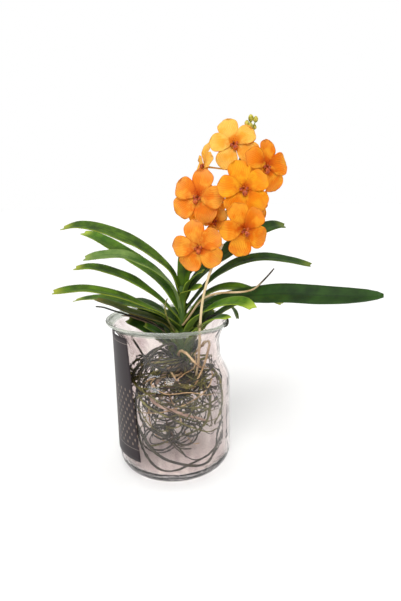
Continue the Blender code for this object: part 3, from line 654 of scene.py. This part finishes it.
# short old blades that fill the vase's mouth behind the crown: the node that they go with, colours, and
# for each blade its heading, rib, width and tilt
mouthLeaves = {
    "mouthLeavesLeft": ("leaf_left_broad", "dark", (
        (152, ((10, 198), (30, 224), (56, 242), (78, 251), (96, 255)), 36, 32),
        (172, ((10, 190), (34, 219), (60, 238), (80, 247), (94, 250)), 32, 34),
        (116, ((10, 202), (28, 230), (48, 247), (66, 256)), 34, 24),
        (198, ((10, 190), (26, 216), (46, 236), (66, 248)), 26, 18))),
    "mouthLeafDried": ("leaf_left_broad", "dried", (
        (176, ((10, 206), (44, 238), (76, 254), (100, 258)), 11, 14),)),
    "mouthLeavesRight": ("leaf_right_back", "mid", (
        (46, ((10, 202), (30, 230), (52, 248), (72, 257)), 32, 26),
        (8, ((10, 204), (34, 236), (62, 258), (84, 270), (98, 273)), 17, 12))),
}


def makeMouthLeaves(skins):
    for name, (stands, key, blades) in mouthLeaves.items():
        bm = newSheetMesh()
        for index, (heading, rib, width, tilt) in enumerate(blades):
            addSheet(bm, leafSettings["across"], leafSettings["shortRows"],
                     leafShape(heading, rib, width, tilt, index * 1.7, 1.0))
        blade = placePiece(name, meshFrom(bm, name), skins[key], [stands])
        thicken(blade, leafSettings["thick"], 1)


# the bases of old leaves that clasp the stem below the rim: heading, height and length of each
oldSheaths = ((176, 166, 46), (6, 170, 44), (214, 177, 50), (-40, 181, 48), (160, 186, 50), (24, 190, 46),
              (236, 186, 54), (-66, 192, 52), (196, 198, 48), (-14, 200, 46), (120, 194, 44), (74, 184, 44))
sheathSettings = {"width": 27, "flare": 27, "across": 8, "rows": 16, "thick": 1.0}


def makeOldSheaths(skins):
    s = sheathSettings
    bm = newSheetMesh()
    for index, (heading, height, long) in enumerate(oldSheaths):
        flare = s["flare"] + 5 * math.sin(index * 2.1)
        rib = ((9.5, height), (13, height + long * 0.36), (19, height + long * 0.7), (flare, height + long))
        addSheet(bm, s["across"], s["rows"], leafShape(heading, rib, s["width"], 6, index * 0.9, 2.0))
    sheaths = placePiece("oldSheaths", meshFrom(bm, "oldSheaths"), skins["dark"], ["stem"])
    thicken(sheaths, s["thick"], 1)


def makeLeaves():
    skins = {key: [leafSkin(key, False), leafSkin(key, True)] for key in leafColours}
    for turn, (name, leaf) in enumerate(leafTable.items()):
        makeLeaf(name, *leaf, skins, turn * 1.3)
    makeMouthLeaves(skins)
    makeOldSheaths(skins)


makeLeaves()
print("stage: leaves")


# the stem, with the scars and brown sheaths of old leaves low down

stemSettings = {"x": 18, "foot": 150, "top": 306, "radius": 7, "oldRadius": 11.5, "oldTop": 182,
                "oldTaper": 14, "ringPitch": 11, "rows": 64, "turns": 28}


def stemRadius(z):
    s = stemSettings
    outline = ((s["foot"], 4), (s["foot"] + 6, 9), (s["foot"] + 20, s["oldRadius"]),
               (s["oldTop"], s["oldRadius"] - 1.5), (s["oldTop"] + s["oldTaper"], s["radius"]),
               (s["top"] - 6, s["radius"] - 0.5), (s["top"], 3.5))
    return along(outline, z)


def stemBark():
    # old orchid stem: papery brown sheath bases below, green and smooth among the leaves
    finish, tree, shader, place = newMaterial("orchid stem", {"Roughness": 0.7})
    parts = addNode(tree, "SeparateXYZ", {}, {0: place.outputs["Object"]})
    fibres = addNode(tree, "Mapping", {}, {"Vector": place.outputs["Object"], "Scale": (420, 420, 60)})
    grain = addNode(tree, "TexNoise", {}, {"Vector": fibres, "Scale": 1, "Detail": 4})
    bark = addNode(tree, "Mix", ofColours, {0: grain, 6: linear("#1E1A0E"), 7: linear("#57492A")})
    height = addNode(tree, "MapRange", eased,
                     {"Value": parts.outputs["Z"], "From Min": 0.185, "From Max": 0.225})
    mixed = addNode(tree, "Mix", ofColours, {0: height, 6: bark, 7: linear("#42601C")})
    bump = addNode(tree, "Bump", {}, {"Height": grain, "Strength": 0.6, "Distance": 0.0008})
    setInputs(tree, shader, {"Base Color": mixed, "Normal": bump})
    return finish


def scarred(place):
    # rings where old leaves came off, every 11 mm, and a slight twist out of round
    flat = math.hypot(place.x, place.y)
    share = 1.0
    if flat > 0.5:
        ringed = -0.5 * max(0.0, math.cos(place.z / stemSettings["ringPitch"] * math.tau)) ** 6
        uneven = 0.35 * math.sin(3 * math.atan2(place.y, place.x) + place.z / 9)
        share = (flat + ringed + uneven - 0.35) / flat
    return Vector((place.x * share + stemSettings["x"], place.y * share, place.z))


def makeStem():
    s = stemSettings
    heights = [s["foot"] + (s["top"] - s["foot"]) * k / s["rows"] for k in range(s["rows"] + 1)]
    profile = [(0, s["foot"]), *[(stemRadius(z), z) for z in heights], (0, s["top"])]
    bm = turnedShape(profile, s["turns"], scarred)
    placePiece("stemAxis", meshFrom(bm, "stemAxis"), [stemBark()], ["stem"])


makeStem()
print("stage: stem")


# the flower stalk with its unopened buds: each bud's offset from the tip, and its size

stalkPoints = ((18, 9.6, 268), (19, 17, 292), (30, 19, 323), (55, 9, 347), (79, -2, 382), (93, 0, 425),
               (106, 2, 477), (119, 4, 521), (127, 5, 545), (129, 5, 556))
stalkSettings = {"foot": 2.6, "tip": 1.5, "twig": 0.9, "fork": -9,
                 "buds": ((0, 0, 4, 4.2), (-6, -2, -3, 3.6), (7, -3, 2, 3.8), (-1, -6, -8, 4.0),
                          (6, 5, -8, 3.6)),
                 "budStretch": 1.4}


def stalkRadius(share):
    return stalkSettings["foot"] + (stalkSettings["tip"] - stalkSettings["foot"]) * max(0.0, 2 * share - 1)


def growthSkin(name, low, high, scale, roughness):
    # young plant skin: matt wax over two mixed tones
    finish, tree, shader, place = newMaterial(name, {"Roughness": roughness, "Subsurface Weight": 0.08,
                                              "Subsurface Scale": 0.002})
    tone = addNode(tree, "TexNoise", {}, {"Vector": place.outputs["Object"], "Scale": scale, "Detail": 3})
    spread = addNode(tree, "MapRange", {}, {"Value": tone, "From Min": 0.35, "From Max": 0.65})
    mixed = addNode(tree, "Mix", ofColours, {0: spread, 6: linear(low), 7: linear(high)})
    bump = addNode(tree, "Bump", {}, {"Height": tone, "Strength": 0.25, "Distance": 0.0003})
    setInputs(tree, shader, {"Base Color": mixed, "Normal": bump})
    return finish


def addBud(bm, centre, size, tilt, turn):
    # a bud of three outer petals folded over each other: three soft ridges, pointed at the top
    made = bmesh.ops.create_uvsphere(bm, u_segments=18, v_segments=12, radius=1)
    lean = Matrix.Rotation(math.radians(tilt), 3, Vector((math.sin(turn), -math.cos(turn), 0)))
    for vert in made["verts"]:
        angle = math.atan2(vert.co.y, vert.co.x)
        ridge = 1 + 0.07 * math.cos(3 * angle + turn) - 0.18 * max(0.0, vert.co.z) ** 3
        local = Vector((vert.co.x * ridge, vert.co.y * ridge, vert.co.z * stalkSettings["budStretch"]))
        vert.co = (Vector(centre) + lean @ (local * size * 0.97)) * mm


def makeStalk():
    # a joint swells the stalk every 26 mm
    path, radii = cordAlong(stalkPoints, 4, lambda k, share: stalkRadius(share)
                            * (1 + 0.1 * math.cos(k * 4 / 26 * math.tau) ** 8))
    green = growthSkin("flower stalk skin", "#6E7E22", "#A9B24A", 120, 0.5)
    cords = [(path, radii)]
    top = path[-1]
    fork = path[stalkSettings["fork"]]
    for dx, dy, dz, size in stalkSettings["buds"]:
        if abs(dx) + abs(dy):
            twig = smoothPath([fork, fork.lerp(top, 0.4) + Vector((dx, dy, 0)) * 0.25,
                               top + Vector((dx, dy, dz - size))], 3)
            cords.append((twig, [stalkSettings["twig"]] * len(twig)))
    placePiece("flowerStalk", tubesMesh("flowerStalk", cords), [green],
               ["flower_stalk_with_buds"])
    bm = bmesh.new()
    for index, (dx, dy, dz, size) in enumerate(stalkSettings["buds"]):
        addBud(bm, top + Vector((dx, dy, dz)), size, 4 * (abs(dx) + abs(dy)), math.atan2(dy, dx) + index)
    buds = growthSkin("bud skin", "#9A921E", "#D2C654", 160, 0.5)
    placePiece("unopenedBuds", meshFrom(bm, "unopenedBuds"), [buds],
               ["flower_stalk_with_buds"])


makeStalk()
print("stage: flower stalk")


# blooms: five rounded petals on narrow claws, a small lip and the column over it

# centre, heading, lift and spin of its face, petal length, height where it leaves the stalk, colours
bloomTable = {
    "bloom_top": ((102, -14, 522), -92, 14, 18, 40, 512, "pale"),
    "bloom_left_upper": ((57, 6, 492), -162, 12, 4, 35, 488, "pale"),
    "bloom_right_upper": ((148, -30, 488), -62, 4, -12, 40, 478, "deep"),
    "bloom_centre": ((113, -52, 457), -88, 12, 8, 42, 470, "orange"),
    "bloom_left": ((47, -28, 446), -106, 4, -18, 41, 452, "salmon"),
    "bloom_right": ((144, 14, 430), -30, -4, 10, 36, 440, "deep"),
    "bloom_right_lower": ((112, -70, 400), -74, 0, 24, 40, 425, "deep"),
    "bloom_left_lower": ((46, -46, 374), -102, -2, 14, 41, 378, "salmon"),
    "bloom_small_side": ((73, -19, 410), -120, -4, 20, 24, 412, "pale"),
    "bloom_back_left": ((62, 46, 428), 118, 4, 0, 38, 432, "orange"),
    "bloom_back_right": ((132, 56, 478), 70, 6, 10, 38, 480, "orange"),
}
# angle round the face, share of the length, width over length, set back
tepalTable = ((90, 1.0, 0.78, 1.6), (18, 0.94, 0.87, 0.0), (162, 0.94, 0.87, 0.0), (-50, 1.0, 0.88, 1.6),
              (-130, 1.0, 0.88, 1.6))
petalOutline = ((0, 0.2), (0.08, 0.27), (0.16, 0.4), (0.26, 0.61), (0.38, 0.83), (0.52, 0.96), (0.66, 1.0),
                (0.77, 0.97), (0.86, 0.86), (0.93, 0.68), (0.97, 0.5), (1, 0.3))
petalColours = {
    "pale": {"edge": "#F8CC70", "body": "#F4AC38", "gold": "#F6C258", "heart": "#E27812",
               "vein": "#DC7E1C"},
    "orange": {"edge": "#F2AA38", "body": "#EC8608", "gold": "#F0A41C", "heart": "#CC5A04",
               "vein": "#CA5E06"},
    "deep": {"edge": "#F2A03C", "body": "#E67808", "gold": "#F0A028", "heart": "#C04A02",
               "vein": "#B84E04"},
    "salmon": {"edge": "#F4AC58", "body": "#EA801A", "gold": "#F0A236", "heart": "#C84E0A",
               "vein": "#C6580E"},
}
bloomSettings = {"thick": 0.7, "lipThick": 0.8, "across": 16, "rows": 20, "pedicel": 1.3, "seed": 5,
                 "lean": 5, "swell": 0.06, "cup": 3.0, "veins": 82, "freckle": "#8E2A06"}


def petalSkin(key):
    # orchid petal: thin fleshy sheet that light shines into, velvety, with a net of veins from its claw
    c = petalColours[key]
    finish, tree, shader, place = newMaterial("orchid petal " + key, {
        "Roughness": 0.6, "Specular IOR Level": 0.1, "Subsurface Weight": 0.1,
        "Subsurface Radius": (1.0, 0.35, 0.06), "Subsurface Scale": 0.003})
    parts = addNode(tree, "SeparateXYZ", {}, {0: place.outputs["UV"]})
    outward = addNode(tree, "MapRange", eased,
                      {"Value": parts.outputs["Y"], "From Min": 0.05, "From Max": 0.55})
    body = addNode(tree, "Mix", ofColours, {0: outward, 6: linear(c["heart"]), 7: linear(c["body"])})
    rimward = addNode(tree, "MapRange", eased,
                      {"Value": parts.outputs["Y"], "From Min": 0.5, "From Max": 1.0, "To Max": 0.65})
    pale = addNode(tree, "Mix", ofColours, {0: rimward, 6: body, 7: linear(c["edge"])})
    # soft golden patches some 16 mm across
    patches = addNode(tree, "TexNoise", {}, {"Vector": place.outputs["Object"], "Scale": 60, "Detail": 3})
    gold = addNode(tree, "MapRange", {},
                   {"Value": patches, "From Min": 0.44, "From Max": 0.6, "To Max": 0.95})
    gilded = addNode(tree, "Mix", ofColours, {0: gold, 6: pale, 7: linear(c["gold"])})
    # veins fan out from the claw, about 2.5 mm apart, bent by a slow noise
    bend = addNode(tree, "TexNoise", {}, {"Vector": place.outputs["Object"], "Scale": 70, "Detail": 2})
    bent = addNode(tree, "Math", {"operation": "MULTIPLY_ADD"}, {0: bend, 1: 0.16, 2: parts.outputs["X"]})
    fan = addNode(tree, "Math", {"operation": "MULTIPLY"}, {0: bent, 1: bloomSettings["veins"]})
    lines = addNode(tree, "Math", {"operation": "SINE"}, {0: fan})
    share = addNode(tree, "MapRange", {},
                    {"Value": lines, "From Min": 0.3, "From Max": 1.0, "To Max": 0.44})
    veined = addNode(tree, "Mix", ofColours, {0: share, 6: gilded, 7: linear(c["vein"])})
    # painted shade: a fine darker line along the very edge that sets each petal off from the one behind it
    across = addNode(tree, "Math", {"operation": "SUBTRACT"}, {0: parts.outputs["X"], 1: 0.5})
    sideways = addNode(tree, "Math", {"operation": "ABSOLUTE"}, {0: across})
    endways = addNode(tree, "Math", {"operation": "SUBTRACT"}, {0: parts.outputs["Y"], 1: 0.5})
    outermost = addNode(tree, "Math", {"operation": "MAXIMUM"}, {0: sideways, 1: endways})
    edgeShadeLine = addNode(tree, "MapRange", {},
                  {"Value": outermost, "From Min": 0.462, "From Max": 0.495, "To Max": 0.4})
    edgeShaded = addNode(tree, "Mix", ofColours, {0: edgeShadeLine, 6: veined, 7: linear(c["heart"])})
    # red-brown freckles close to the claw, about 1 mm each
    freckle = addNode(tree, "TexVoronoi", {}, {"Vector": place.outputs["Object"], "Scale": 420})
    dots = addNode(tree, "MapRange", {},
                   {"Value": freckle.outputs["Distance"], "From Min": 0.2, "From Max": 0.35, "To Min": 1,
                    "To Max": 0})
    near = addNode(tree, "MapRange", {},
                   {"Value": parts.outputs["Y"], "From Min": 0.08, "From Max": 0.3, "To Min": 0.75,
                    "To Max": 0})
    spots = addNode(tree, "Math", {"operation": "MULTIPLY"}, {0: dots, 1: near})
    spotted = addNode(tree, "Mix", ofColours, {0: spots, 6: edgeShaded, 7: linear(bloomSettings["freckle"])})
    bump = addNode(tree, "Bump", {}, {"Height": lines, "Strength": 0.4, "Distance": 0.0003})
    setInputs(tree, shader, {"Base Color": spotted, "Normal": bump})
    return finish


def faceMatrix(centre, heading, lift, spin):
    # a frame at the bloom's centre whose z looks where the bloom faces and whose y is up
    across, rise = math.radians(heading), math.radians(lift)
    facing = Vector((math.cos(across) * math.cos(rise), math.sin(across) * math.cos(rise), math.sin(rise)))
    right = Vector((0, 0, 1)).cross(facing).normalized()
    above = facing.cross(right)
    turned = Matrix((right, above, facing)).transposed() @ Matrix.Rotation(math.radians(spin), 3, "Z")
    return Matrix.Translation(Vector(centre)) @ turned.to_4x4()


def addPetal(bm, faceFrame, angle, length, width, back, cup, across, rows, phase=0.0):
    turn = Matrix.Rotation(math.radians(angle), 4, "Z")

    def shape(u, v):
        half = width / 2 * along(petalOutline, u)
        s = u - 0.06 * v * v * u ** 4
        wave = 0.06 * length * math.sin(5.2 * u + 1.6 * v + angle + phase) * abs(v) * u
        ruffle = 0.02 * length * math.sin(15 * u + 3 * v + 2 * angle + phase) * v * v * u
        crease = -0.09 * length * math.exp(-(v * v) * 14) * u * (1 - u)
        height = cup * math.sin(math.pi * min(1.0, s * 0.9)) - 0.1 * length * s * s
        lift = 0.05 * length * v * v * u
        return faceFrame @ turn @ Vector((1.5 + length * s, half * v, height + wave + ruffle + crease + lift
                                          - back))
    addSheet(bm, across, rows, shape)


def makeBloom(name, centre, heading, lift, spin, length, join, key, stalk, skins):
    faceFrame = faceMatrix(centre, heading, lift, spin)
    s = bloomSettings
    bm = newSheetMesh()
    draw = random.Random(name + str(s["seed"]))
    for angle, share, wide, back in tepalTable:
        # each petal leans, swells and waves a little in its own way
        long = share * length * (1 + draw.uniform(-1, 0.3) * s["swell"])
        addPetal(bm, faceFrame, angle + draw.uniform(-1, 1) * s["lean"], long,
                 long * wide * (1 + draw.uniform(-1, 1) * s["swell"]), back, s["cup"],
                 s["across"], s["rows"], draw.uniform(0, 6))
    petals = placePiece(name + "_petals", meshFrom(bm, name + "_petals"), [skins[key]], [name])
    thicken(petals, s["thick"])
    # the lip: a tongue that bends down, and two small side lobes that stand up beside the column
    bm = newSheetMesh()
    addPetal(bm, faceFrame, -90, 0.25 * length, 0.18 * length, -2.0, 4.4, 8, 10)
    for angle in (-20, 200):
        addPetal(bm, faceFrame, angle, 0.13 * length, 0.12 * length, -2.4, 2.4, 6, 6)
    lip = placePiece(name + "_lip", meshFrom(bm, name + "_lip"), [skins["lip"]], [name])
    thicken(lip, s["lipThick"])
    # the column: a blunt hood with its pale cap, over the mouth
    bm = bmesh.new()
    made = bmesh.ops.create_uvsphere(bm, u_segments=16, v_segments=12, radius=1)
    for vert in made["verts"]:
        x, y, z = vert.co
        local = Vector((x * (1.5 + 0.3 * z), y * (1.5 - 0.4 * max(0.0, -y)) + 1.0, z * 2.7 + 2.9))
        vert.co = (faceFrame @ local) * mm
    made = bmesh.ops.create_uvsphere(bm, u_segments=14, v_segments=10, radius=1)
    for vert in made["verts"]:
        local = Vector((vert.co.x * 2.2, vert.co.y * 2.2, vert.co.z * 2.2 - 0.4))
        vert.co = (faceFrame @ local) * mm
    placePiece(name + "_column", meshFrom(bm, name + "_column"), [skins["column"]], [name])
    # the bloom's own stalk, from its back to the main stalk
    near = min(stalk, key=lambda place: abs(place.z - join))
    index = min(stalk.index(near), len(stalk) - 2)
    direction = (stalk[index + 1] - stalk[index]).normalized()
    facing = faceFrame.to_3x3() @ Vector((0, 0, 1))
    away = Vector(centre) - facing * 14 - near
    away = (away - direction * away.dot(direction)).normalized()
    foot = near + away * (stalkRadius(index / (len(stalk) - 1)) - 0.3)
    route = [Vector(centre) - facing * 0.5, Vector(centre) - facing * 9, foot + away * 5, foot]
    cord = cordAlong(route, 2.5, lambda k, way: s["pedicel"]
                     * (1 + 0.5 * (1 - ease(way, 0, 0.35)) + 0.25 * ease(way, 0.9, 1)))
    placePiece(name + "_pedicel", tubesMesh(name + "_pedicel", [cord]), [skins["pedicel"]], [name])


def makeBlooms():
    skins = {key: petalSkin(key) for key in petalColours}
    skins["lip"] = growthSkin("orchid lip", "#8E2604", "#CF5E0C", 260, 0.5)
    skins["column"] = growthSkin("orchid column", "#7A1C02", "#C8681A", 300, 0.5)
    skins["pedicel"] = growthSkin("pale flower stem", "#E3B84C", "#F2D27A", 150, 0.5)
    stalk = smoothPath(stalkPoints, 15)
    for name, bloom in bloomTable.items():
        makeBloom(name, *bloom, stalk, skins)


makeBlooms()
print("stage: blooms")


# the stake: a split cane, a little thicker at its joints

stakePoints = ((84, -9, 373), (73, -24, 352), (61, -43, 328), (51, -61, 294), (46, -67, 252), (44, -57, 222),
               (42, -44, 190), (38, -34, 168))
stakeSettings = {"radius": 2.1, "jointPitch": 58}


def stakeWood():
    # split cane: dull pale tan, with fine long fibres
    finish, tree, shader, place = newMaterial("split cane", {"Roughness": 0.6})
    fibres = addNode(tree, "Mapping", {}, {"Vector": place.outputs["Object"], "Scale": (700, 700, 45)})
    grain = addNode(tree, "TexNoise", {}, {"Vector": fibres, "Scale": 1, "Detail": 4})
    mixed = addNode(tree, "Mix", ofColours, {0: grain, 6: linear("#BFA270"), 7: linear("#ECDAB0")})
    bump = addNode(tree, "Bump", {}, {"Height": grain, "Strength": 0.3, "Distance": 0.0003})
    setInputs(tree, shader, {"Base Color": mixed, "Normal": bump})
    return finish


def makeStake():
    s = stakeSettings
    cord = cordAlong(stakePoints, 3, lambda k, share: s["radius"]
                     * (0.93 + 0.07 * max(0.0, math.cos(k * 3 / s["jointPitch"] * math.tau)) ** 12))
    placePiece("stakeCane", tubesMesh("stakeCane", [cord]), [stakeWood()], ["support_stake"])


makeStake()
print("stage: stake")


# roots: the CAD cords made round and smooth, and finer roots among them

# dark tone, pale tone, roughness
rootSkins = {
    "dark": ("#12120A", "#302D16", 0.5), "olive": ("#37370F", "#7D7A34", 0.55),
    "tan": ("#9C7E54", "#D2B588", 0.65), "pink": ("#A08272", "#CFB4A2", 0.6),
    "brown": ("#2A1C0D", "#62492E", 0.6), "aerial": ("#A98A5E", "#D9BE94", 0.65),
}
aerialEnd = {"from": 0.128, "to": 0.142, "colour": "#33281A"}
rootNodes = {
    "root_loop_low": "dark", "root_loop_thick": "dark", "root_up_left": "dark", "root_fork_low": "dark",
    "root_sweep_back": "olive", "root_pink_thick": "pink", "root_tan_upper": "tan", "root_tan_right": "tan",
    "root_right_wall": "olive", "root_left_back": "dark", "root_aerial_right": "aerial",
    "root_arch_front": "olive", "roots_tangle_olive": "olive", "roots_coils_dark": "dark",
}


def rootSkin(key):
    # bare orchid root: spongy skin, silvery when dry and olive where the damp shows through, with grit
    low, high, roughness = rootSkins[key]
    finish, tree, shader, place = newMaterial("orchid root " + key, {"Roughness": roughness})
    damp = addNode(tree, "TexNoise", {}, {"Vector": place.outputs["Object"], "Scale": 55, "Detail": 4})
    spread = addNode(tree, "MapRange", {}, {"Value": damp, "From Min": 0.38, "From Max": 0.66})
    mixed = addNode(tree, "Mix", ofColours, {0: spread, 6: linear(low), 7: linear(high)})
    # grit and pores about 1 mm across
    pores = addNode(tree, "TexNoise", {}, {"Vector": place.outputs["Object"], "Scale": 900, "Detail": 2})
    poreShare = addNode(tree, "MapRange", {},
                        {"Value": pores, "From Min": 0.55, "From Max": 0.75, "To Max": 0.16})
    gritted = addNode(tree, "Mix", ofColours, {0: poreShare, 6: mixed, 7: linear("#C7BFA2")})
    coloured = gritted
    if key == "aerial":
        # the root that hangs in the air has dried dark at its end
        parts = addNode(tree, "SeparateXYZ", {}, {0: place.outputs["Object"]})
        dried = addNode(tree, "MapRange", {},
                        {"Value": parts.outputs["X"], "From Min": aerialEnd["from"],
                         "From Max": aerialEnd["to"]})
        coloured = addNode(tree, "Mix", ofColours, {0: dried, 6: gritted, 7: linear(aerialEnd["colour"])})
    bump = addNode(tree, "Bump", {}, {"Height": pores, "Strength": 0.35, "Distance": 0.0004})
    setInputs(tree, shader, {"Base Color": coloured, "Normal": bump})
    return finish


def roundCopy(node, finish, swell):
    # a copy of the CAD cord, merged and swollen a little, because the smoothing takes that much back
    source = bpy.data.objects[node]
    bm = bmesh.new()
    bm.from_mesh(source.data)
    bmesh.ops.transform(bm, matrix=source.matrix_world, verts=bm.verts)
    bmesh.ops.remove_doubles(bm, verts=bm.verts, dist=0.005 * mm)
    bmesh.ops.join_triangles(bm, faces=bm.faces, angle_face_threshold=math.radians(35),
                             angle_shape_threshold=math.radians(60))
    bm.normal_update()
    moved = [vert.co + vert.normal * swell * mm for vert in bm.verts]
    for vert, place in zip(bm.verts, moved):
        vert.co = place
    piece = placePiece(node + "_skin", meshFrom(bm, node + "_skin"), [finish], [node])
    smooth = piece.modifiers.new("round", "SUBSURF")
    smooth.levels = 2
    smooth.render_levels = 2


# thin roots: the heights that they start from and end in, how far out they reach, how far round they go
fineRootSettings = {"seed": 21, "count": 96, "radius": (0.9, 1.7), "middle": (4, -2), "reach": (38, 86),
                    "start": (154, 196), "band": (38, 178), "turns": (1.2, 3.6)}
# the close coils low in the vase: between these places, this big, this many turns
coilSettings = {"seed": 4, "count": 11, "across": (-36, 30), "deep": (-62, -14), "high": (60, 106),
                "radius": (9, 25), "thick": (1.0, 1.7), "turns": (1.1, 2.2)}


def insideGlass(place, radius):
    # the place moved in from the glass, so that the root clears it
    v = vaseSettings
    wall = vaseRadius(place.z) - v["wall"] - 8
    flat = math.hypot(place.x, place.y)
    most = wall - radius
    if flat > most:
        place = Vector((place.x * most / flat, place.y * most / flat, place.z))
    return Vector((place.x, place.y, max(place.z, v["floor"] + 4)))


def coils():
    # roots that ran out of room and wound round on themselves
    c = coilSettings
    draw = random.Random(c["seed"])
    cords = []
    for index in range(c["count"]):
        middle = Vector((draw.uniform(*c["across"]), draw.uniform(*c["deep"]), draw.uniform(*c["high"])))
        size, thick = draw.uniform(*c["radius"]), draw.uniform(*c["thick"])
        turned = (Matrix.Rotation(draw.uniform(0.2, 1.2), 3, "X")
                  @ Matrix.Rotation(draw.uniform(-0.5, 0.5), 3, "Y"))
        turns, begin = draw.uniform(*c["turns"]), draw.uniform(0, math.tau)
        route = []
        for k in range(15):
            at = begin + turns * math.tau * k / 14
            reach = size * (1 + 0.5 * k / 14)
            offset = Vector((reach * math.cos(at), reach * 0.8 * math.sin(at), k * 0.7))
            route.append(insideGlass(middle + turned @ offset, thick))
        cords.append(cordAlong(route, 4, lambda k, share: thick * (1 - 0.35 * share)))
    return cords


def makeFineRoots(skins):
    # thin roots leave the old stem, reach the glass and sweep round inside it, mostly level
    f = fineRootSettings
    draw = random.Random(f["seed"])
    bundles = {"olive": [], "dark": [], "tan": [], "brown": []}
    for index in range(f["count"]):
        key = ("olive", "dark", "olive", "dark", "brown", "olive", "tan", "dark")[index % 8]
        angle = draw.uniform(0, math.tau)
        start = draw.uniform(*f["start"])
        turn = draw.choice((-1, 1)) * draw.uniform(*f["turns"])
        far = draw.uniform(*f["reach"])
        end = min(draw.uniform(*f["band"]), start)
        radius = draw.uniform(*f["radius"])
        out = Vector((math.cos(angle), math.sin(angle), 0))
        route = [Vector((stemSettings["x"], 0, start)) + out * (stemRadius(start) - 1.2),
                 Vector((stemSettings["x"], 0, start - 1)) + out * (stemRadius(start) + 10)]
        wander = draw.uniform(0, math.tau)
        for k in range(1, 9):
            at = angle + turn * k / 8
            wide = far * (0.55 + 0.45 * min(1.0, k / 3)) * (1 + 0.07 * math.sin(k * 1.1 + wander))
            z = start + (end - start) * ease(k, 0, 8) + 4 * math.sin(k * 1.2 + wander * 2)
            route.append(insideGlass(Vector((f["middle"][0] + wide * math.cos(at),
                                             f["middle"][1] + wide * math.sin(at), z)), radius))
        bundles[key].append(cordAlong(route, 4, lambda k, share: radius * (1 - 0.4 * share)
                                      * (1 + 0.1 * math.sin(k * 0.9 + index))))
    bundles["dark"] += coils()
    for key, cords in bundles.items():
        replaced = ["roots_coils_dark"] if key in ("dark", "brown") else ["roots_tangle_olive"]
        placePiece("fineRoots_" + key, tubesMesh("fineRoots_" + key, cords, 1), [skins[key]],
                   replaced)


# two dry ends that the eye picks out at the rim: a strand over the left, a hook over the right.
# Each has its route, its radius at the start and at the end, and the node that it goes with
rimStrands = {
    "rimStrandLeft": (((12, 4, 214), (-20, 6, 236), (-52, 4, 252), (-80, 4, 262), (-96, 2, 268),
                       (-109, -2, 274), (-121, -4, 276)), 1.9, 1.2, "root_up_left"),
    "rimHookRight": (((24, 2, 206), (44, 0, 236), (62, -2, 254), (76, -8, 259), (87, -16, 258),
                      (91, -22, 253), (89, -27, 247), (84, -29, 245)), 2.0, 1.4, "root_right_wall"),
}
tieSettings = {"place": (45.6, -66.8, 257), "turns": 3, "radius": 2.9, "cord": 0.6, "pitch": 1.5}


def makeRimStrands(skins):
    for name, (route, thick, thin, stands) in rimStrands.items():
        cord = cordAlong(route, 3, lambda k, share: thick + (thin - thick) * share)
        placePiece(name, tubesMesh(name, [cord]), [skins["dark"]], [stands])


def makeTie():
    # green garden twine wound round the cane at the rim, its two ends left loose
    s = tieSettings
    middle = Vector(s["place"])
    steps = 12 * s["turns"]
    wound = [middle + Vector((s["radius"] * math.cos(k / 12 * math.tau),
                              s["radius"] * math.sin(k / 12 * math.tau),
                              s["pitch"] * (k / 12 - s["turns"] / 2))) for k in range(steps + 1)]
    ends = [smoothPath([wound[0], wound[0] + Vector((3, -3, 0)), wound[0] + Vector((8, -2, -3))], 1),
            smoothPath([wound[-1], wound[-1] + Vector((2, -4, 1)), wound[-1] + Vector((-4, -6, 4))], 1)]
    cords = [(path, [s["cord"]] * len(path)) for path in [wound, *ends]]
    # twine: two dull tones and no shine
    twine = growthSkin("garden twine", "#5E5A30", "#8E8650", 900, 0.8)
    placePiece("stakeTie", tubesMesh("stakeTie", cords, 2), [twine], ["support_stake"])


def makeRoots():
    skins = {key: rootSkin(key) for key in rootSkins}
    for node, key in rootNodes.items():
        swell = 0.75 if node.startswith("roots_") else 0.4
        roundCopy(node, skins[key], swell)
    makeFineRoots(skins)
    makeRimStrands(skins)
    makeTie()


makeRoots()
print("stage: roots")
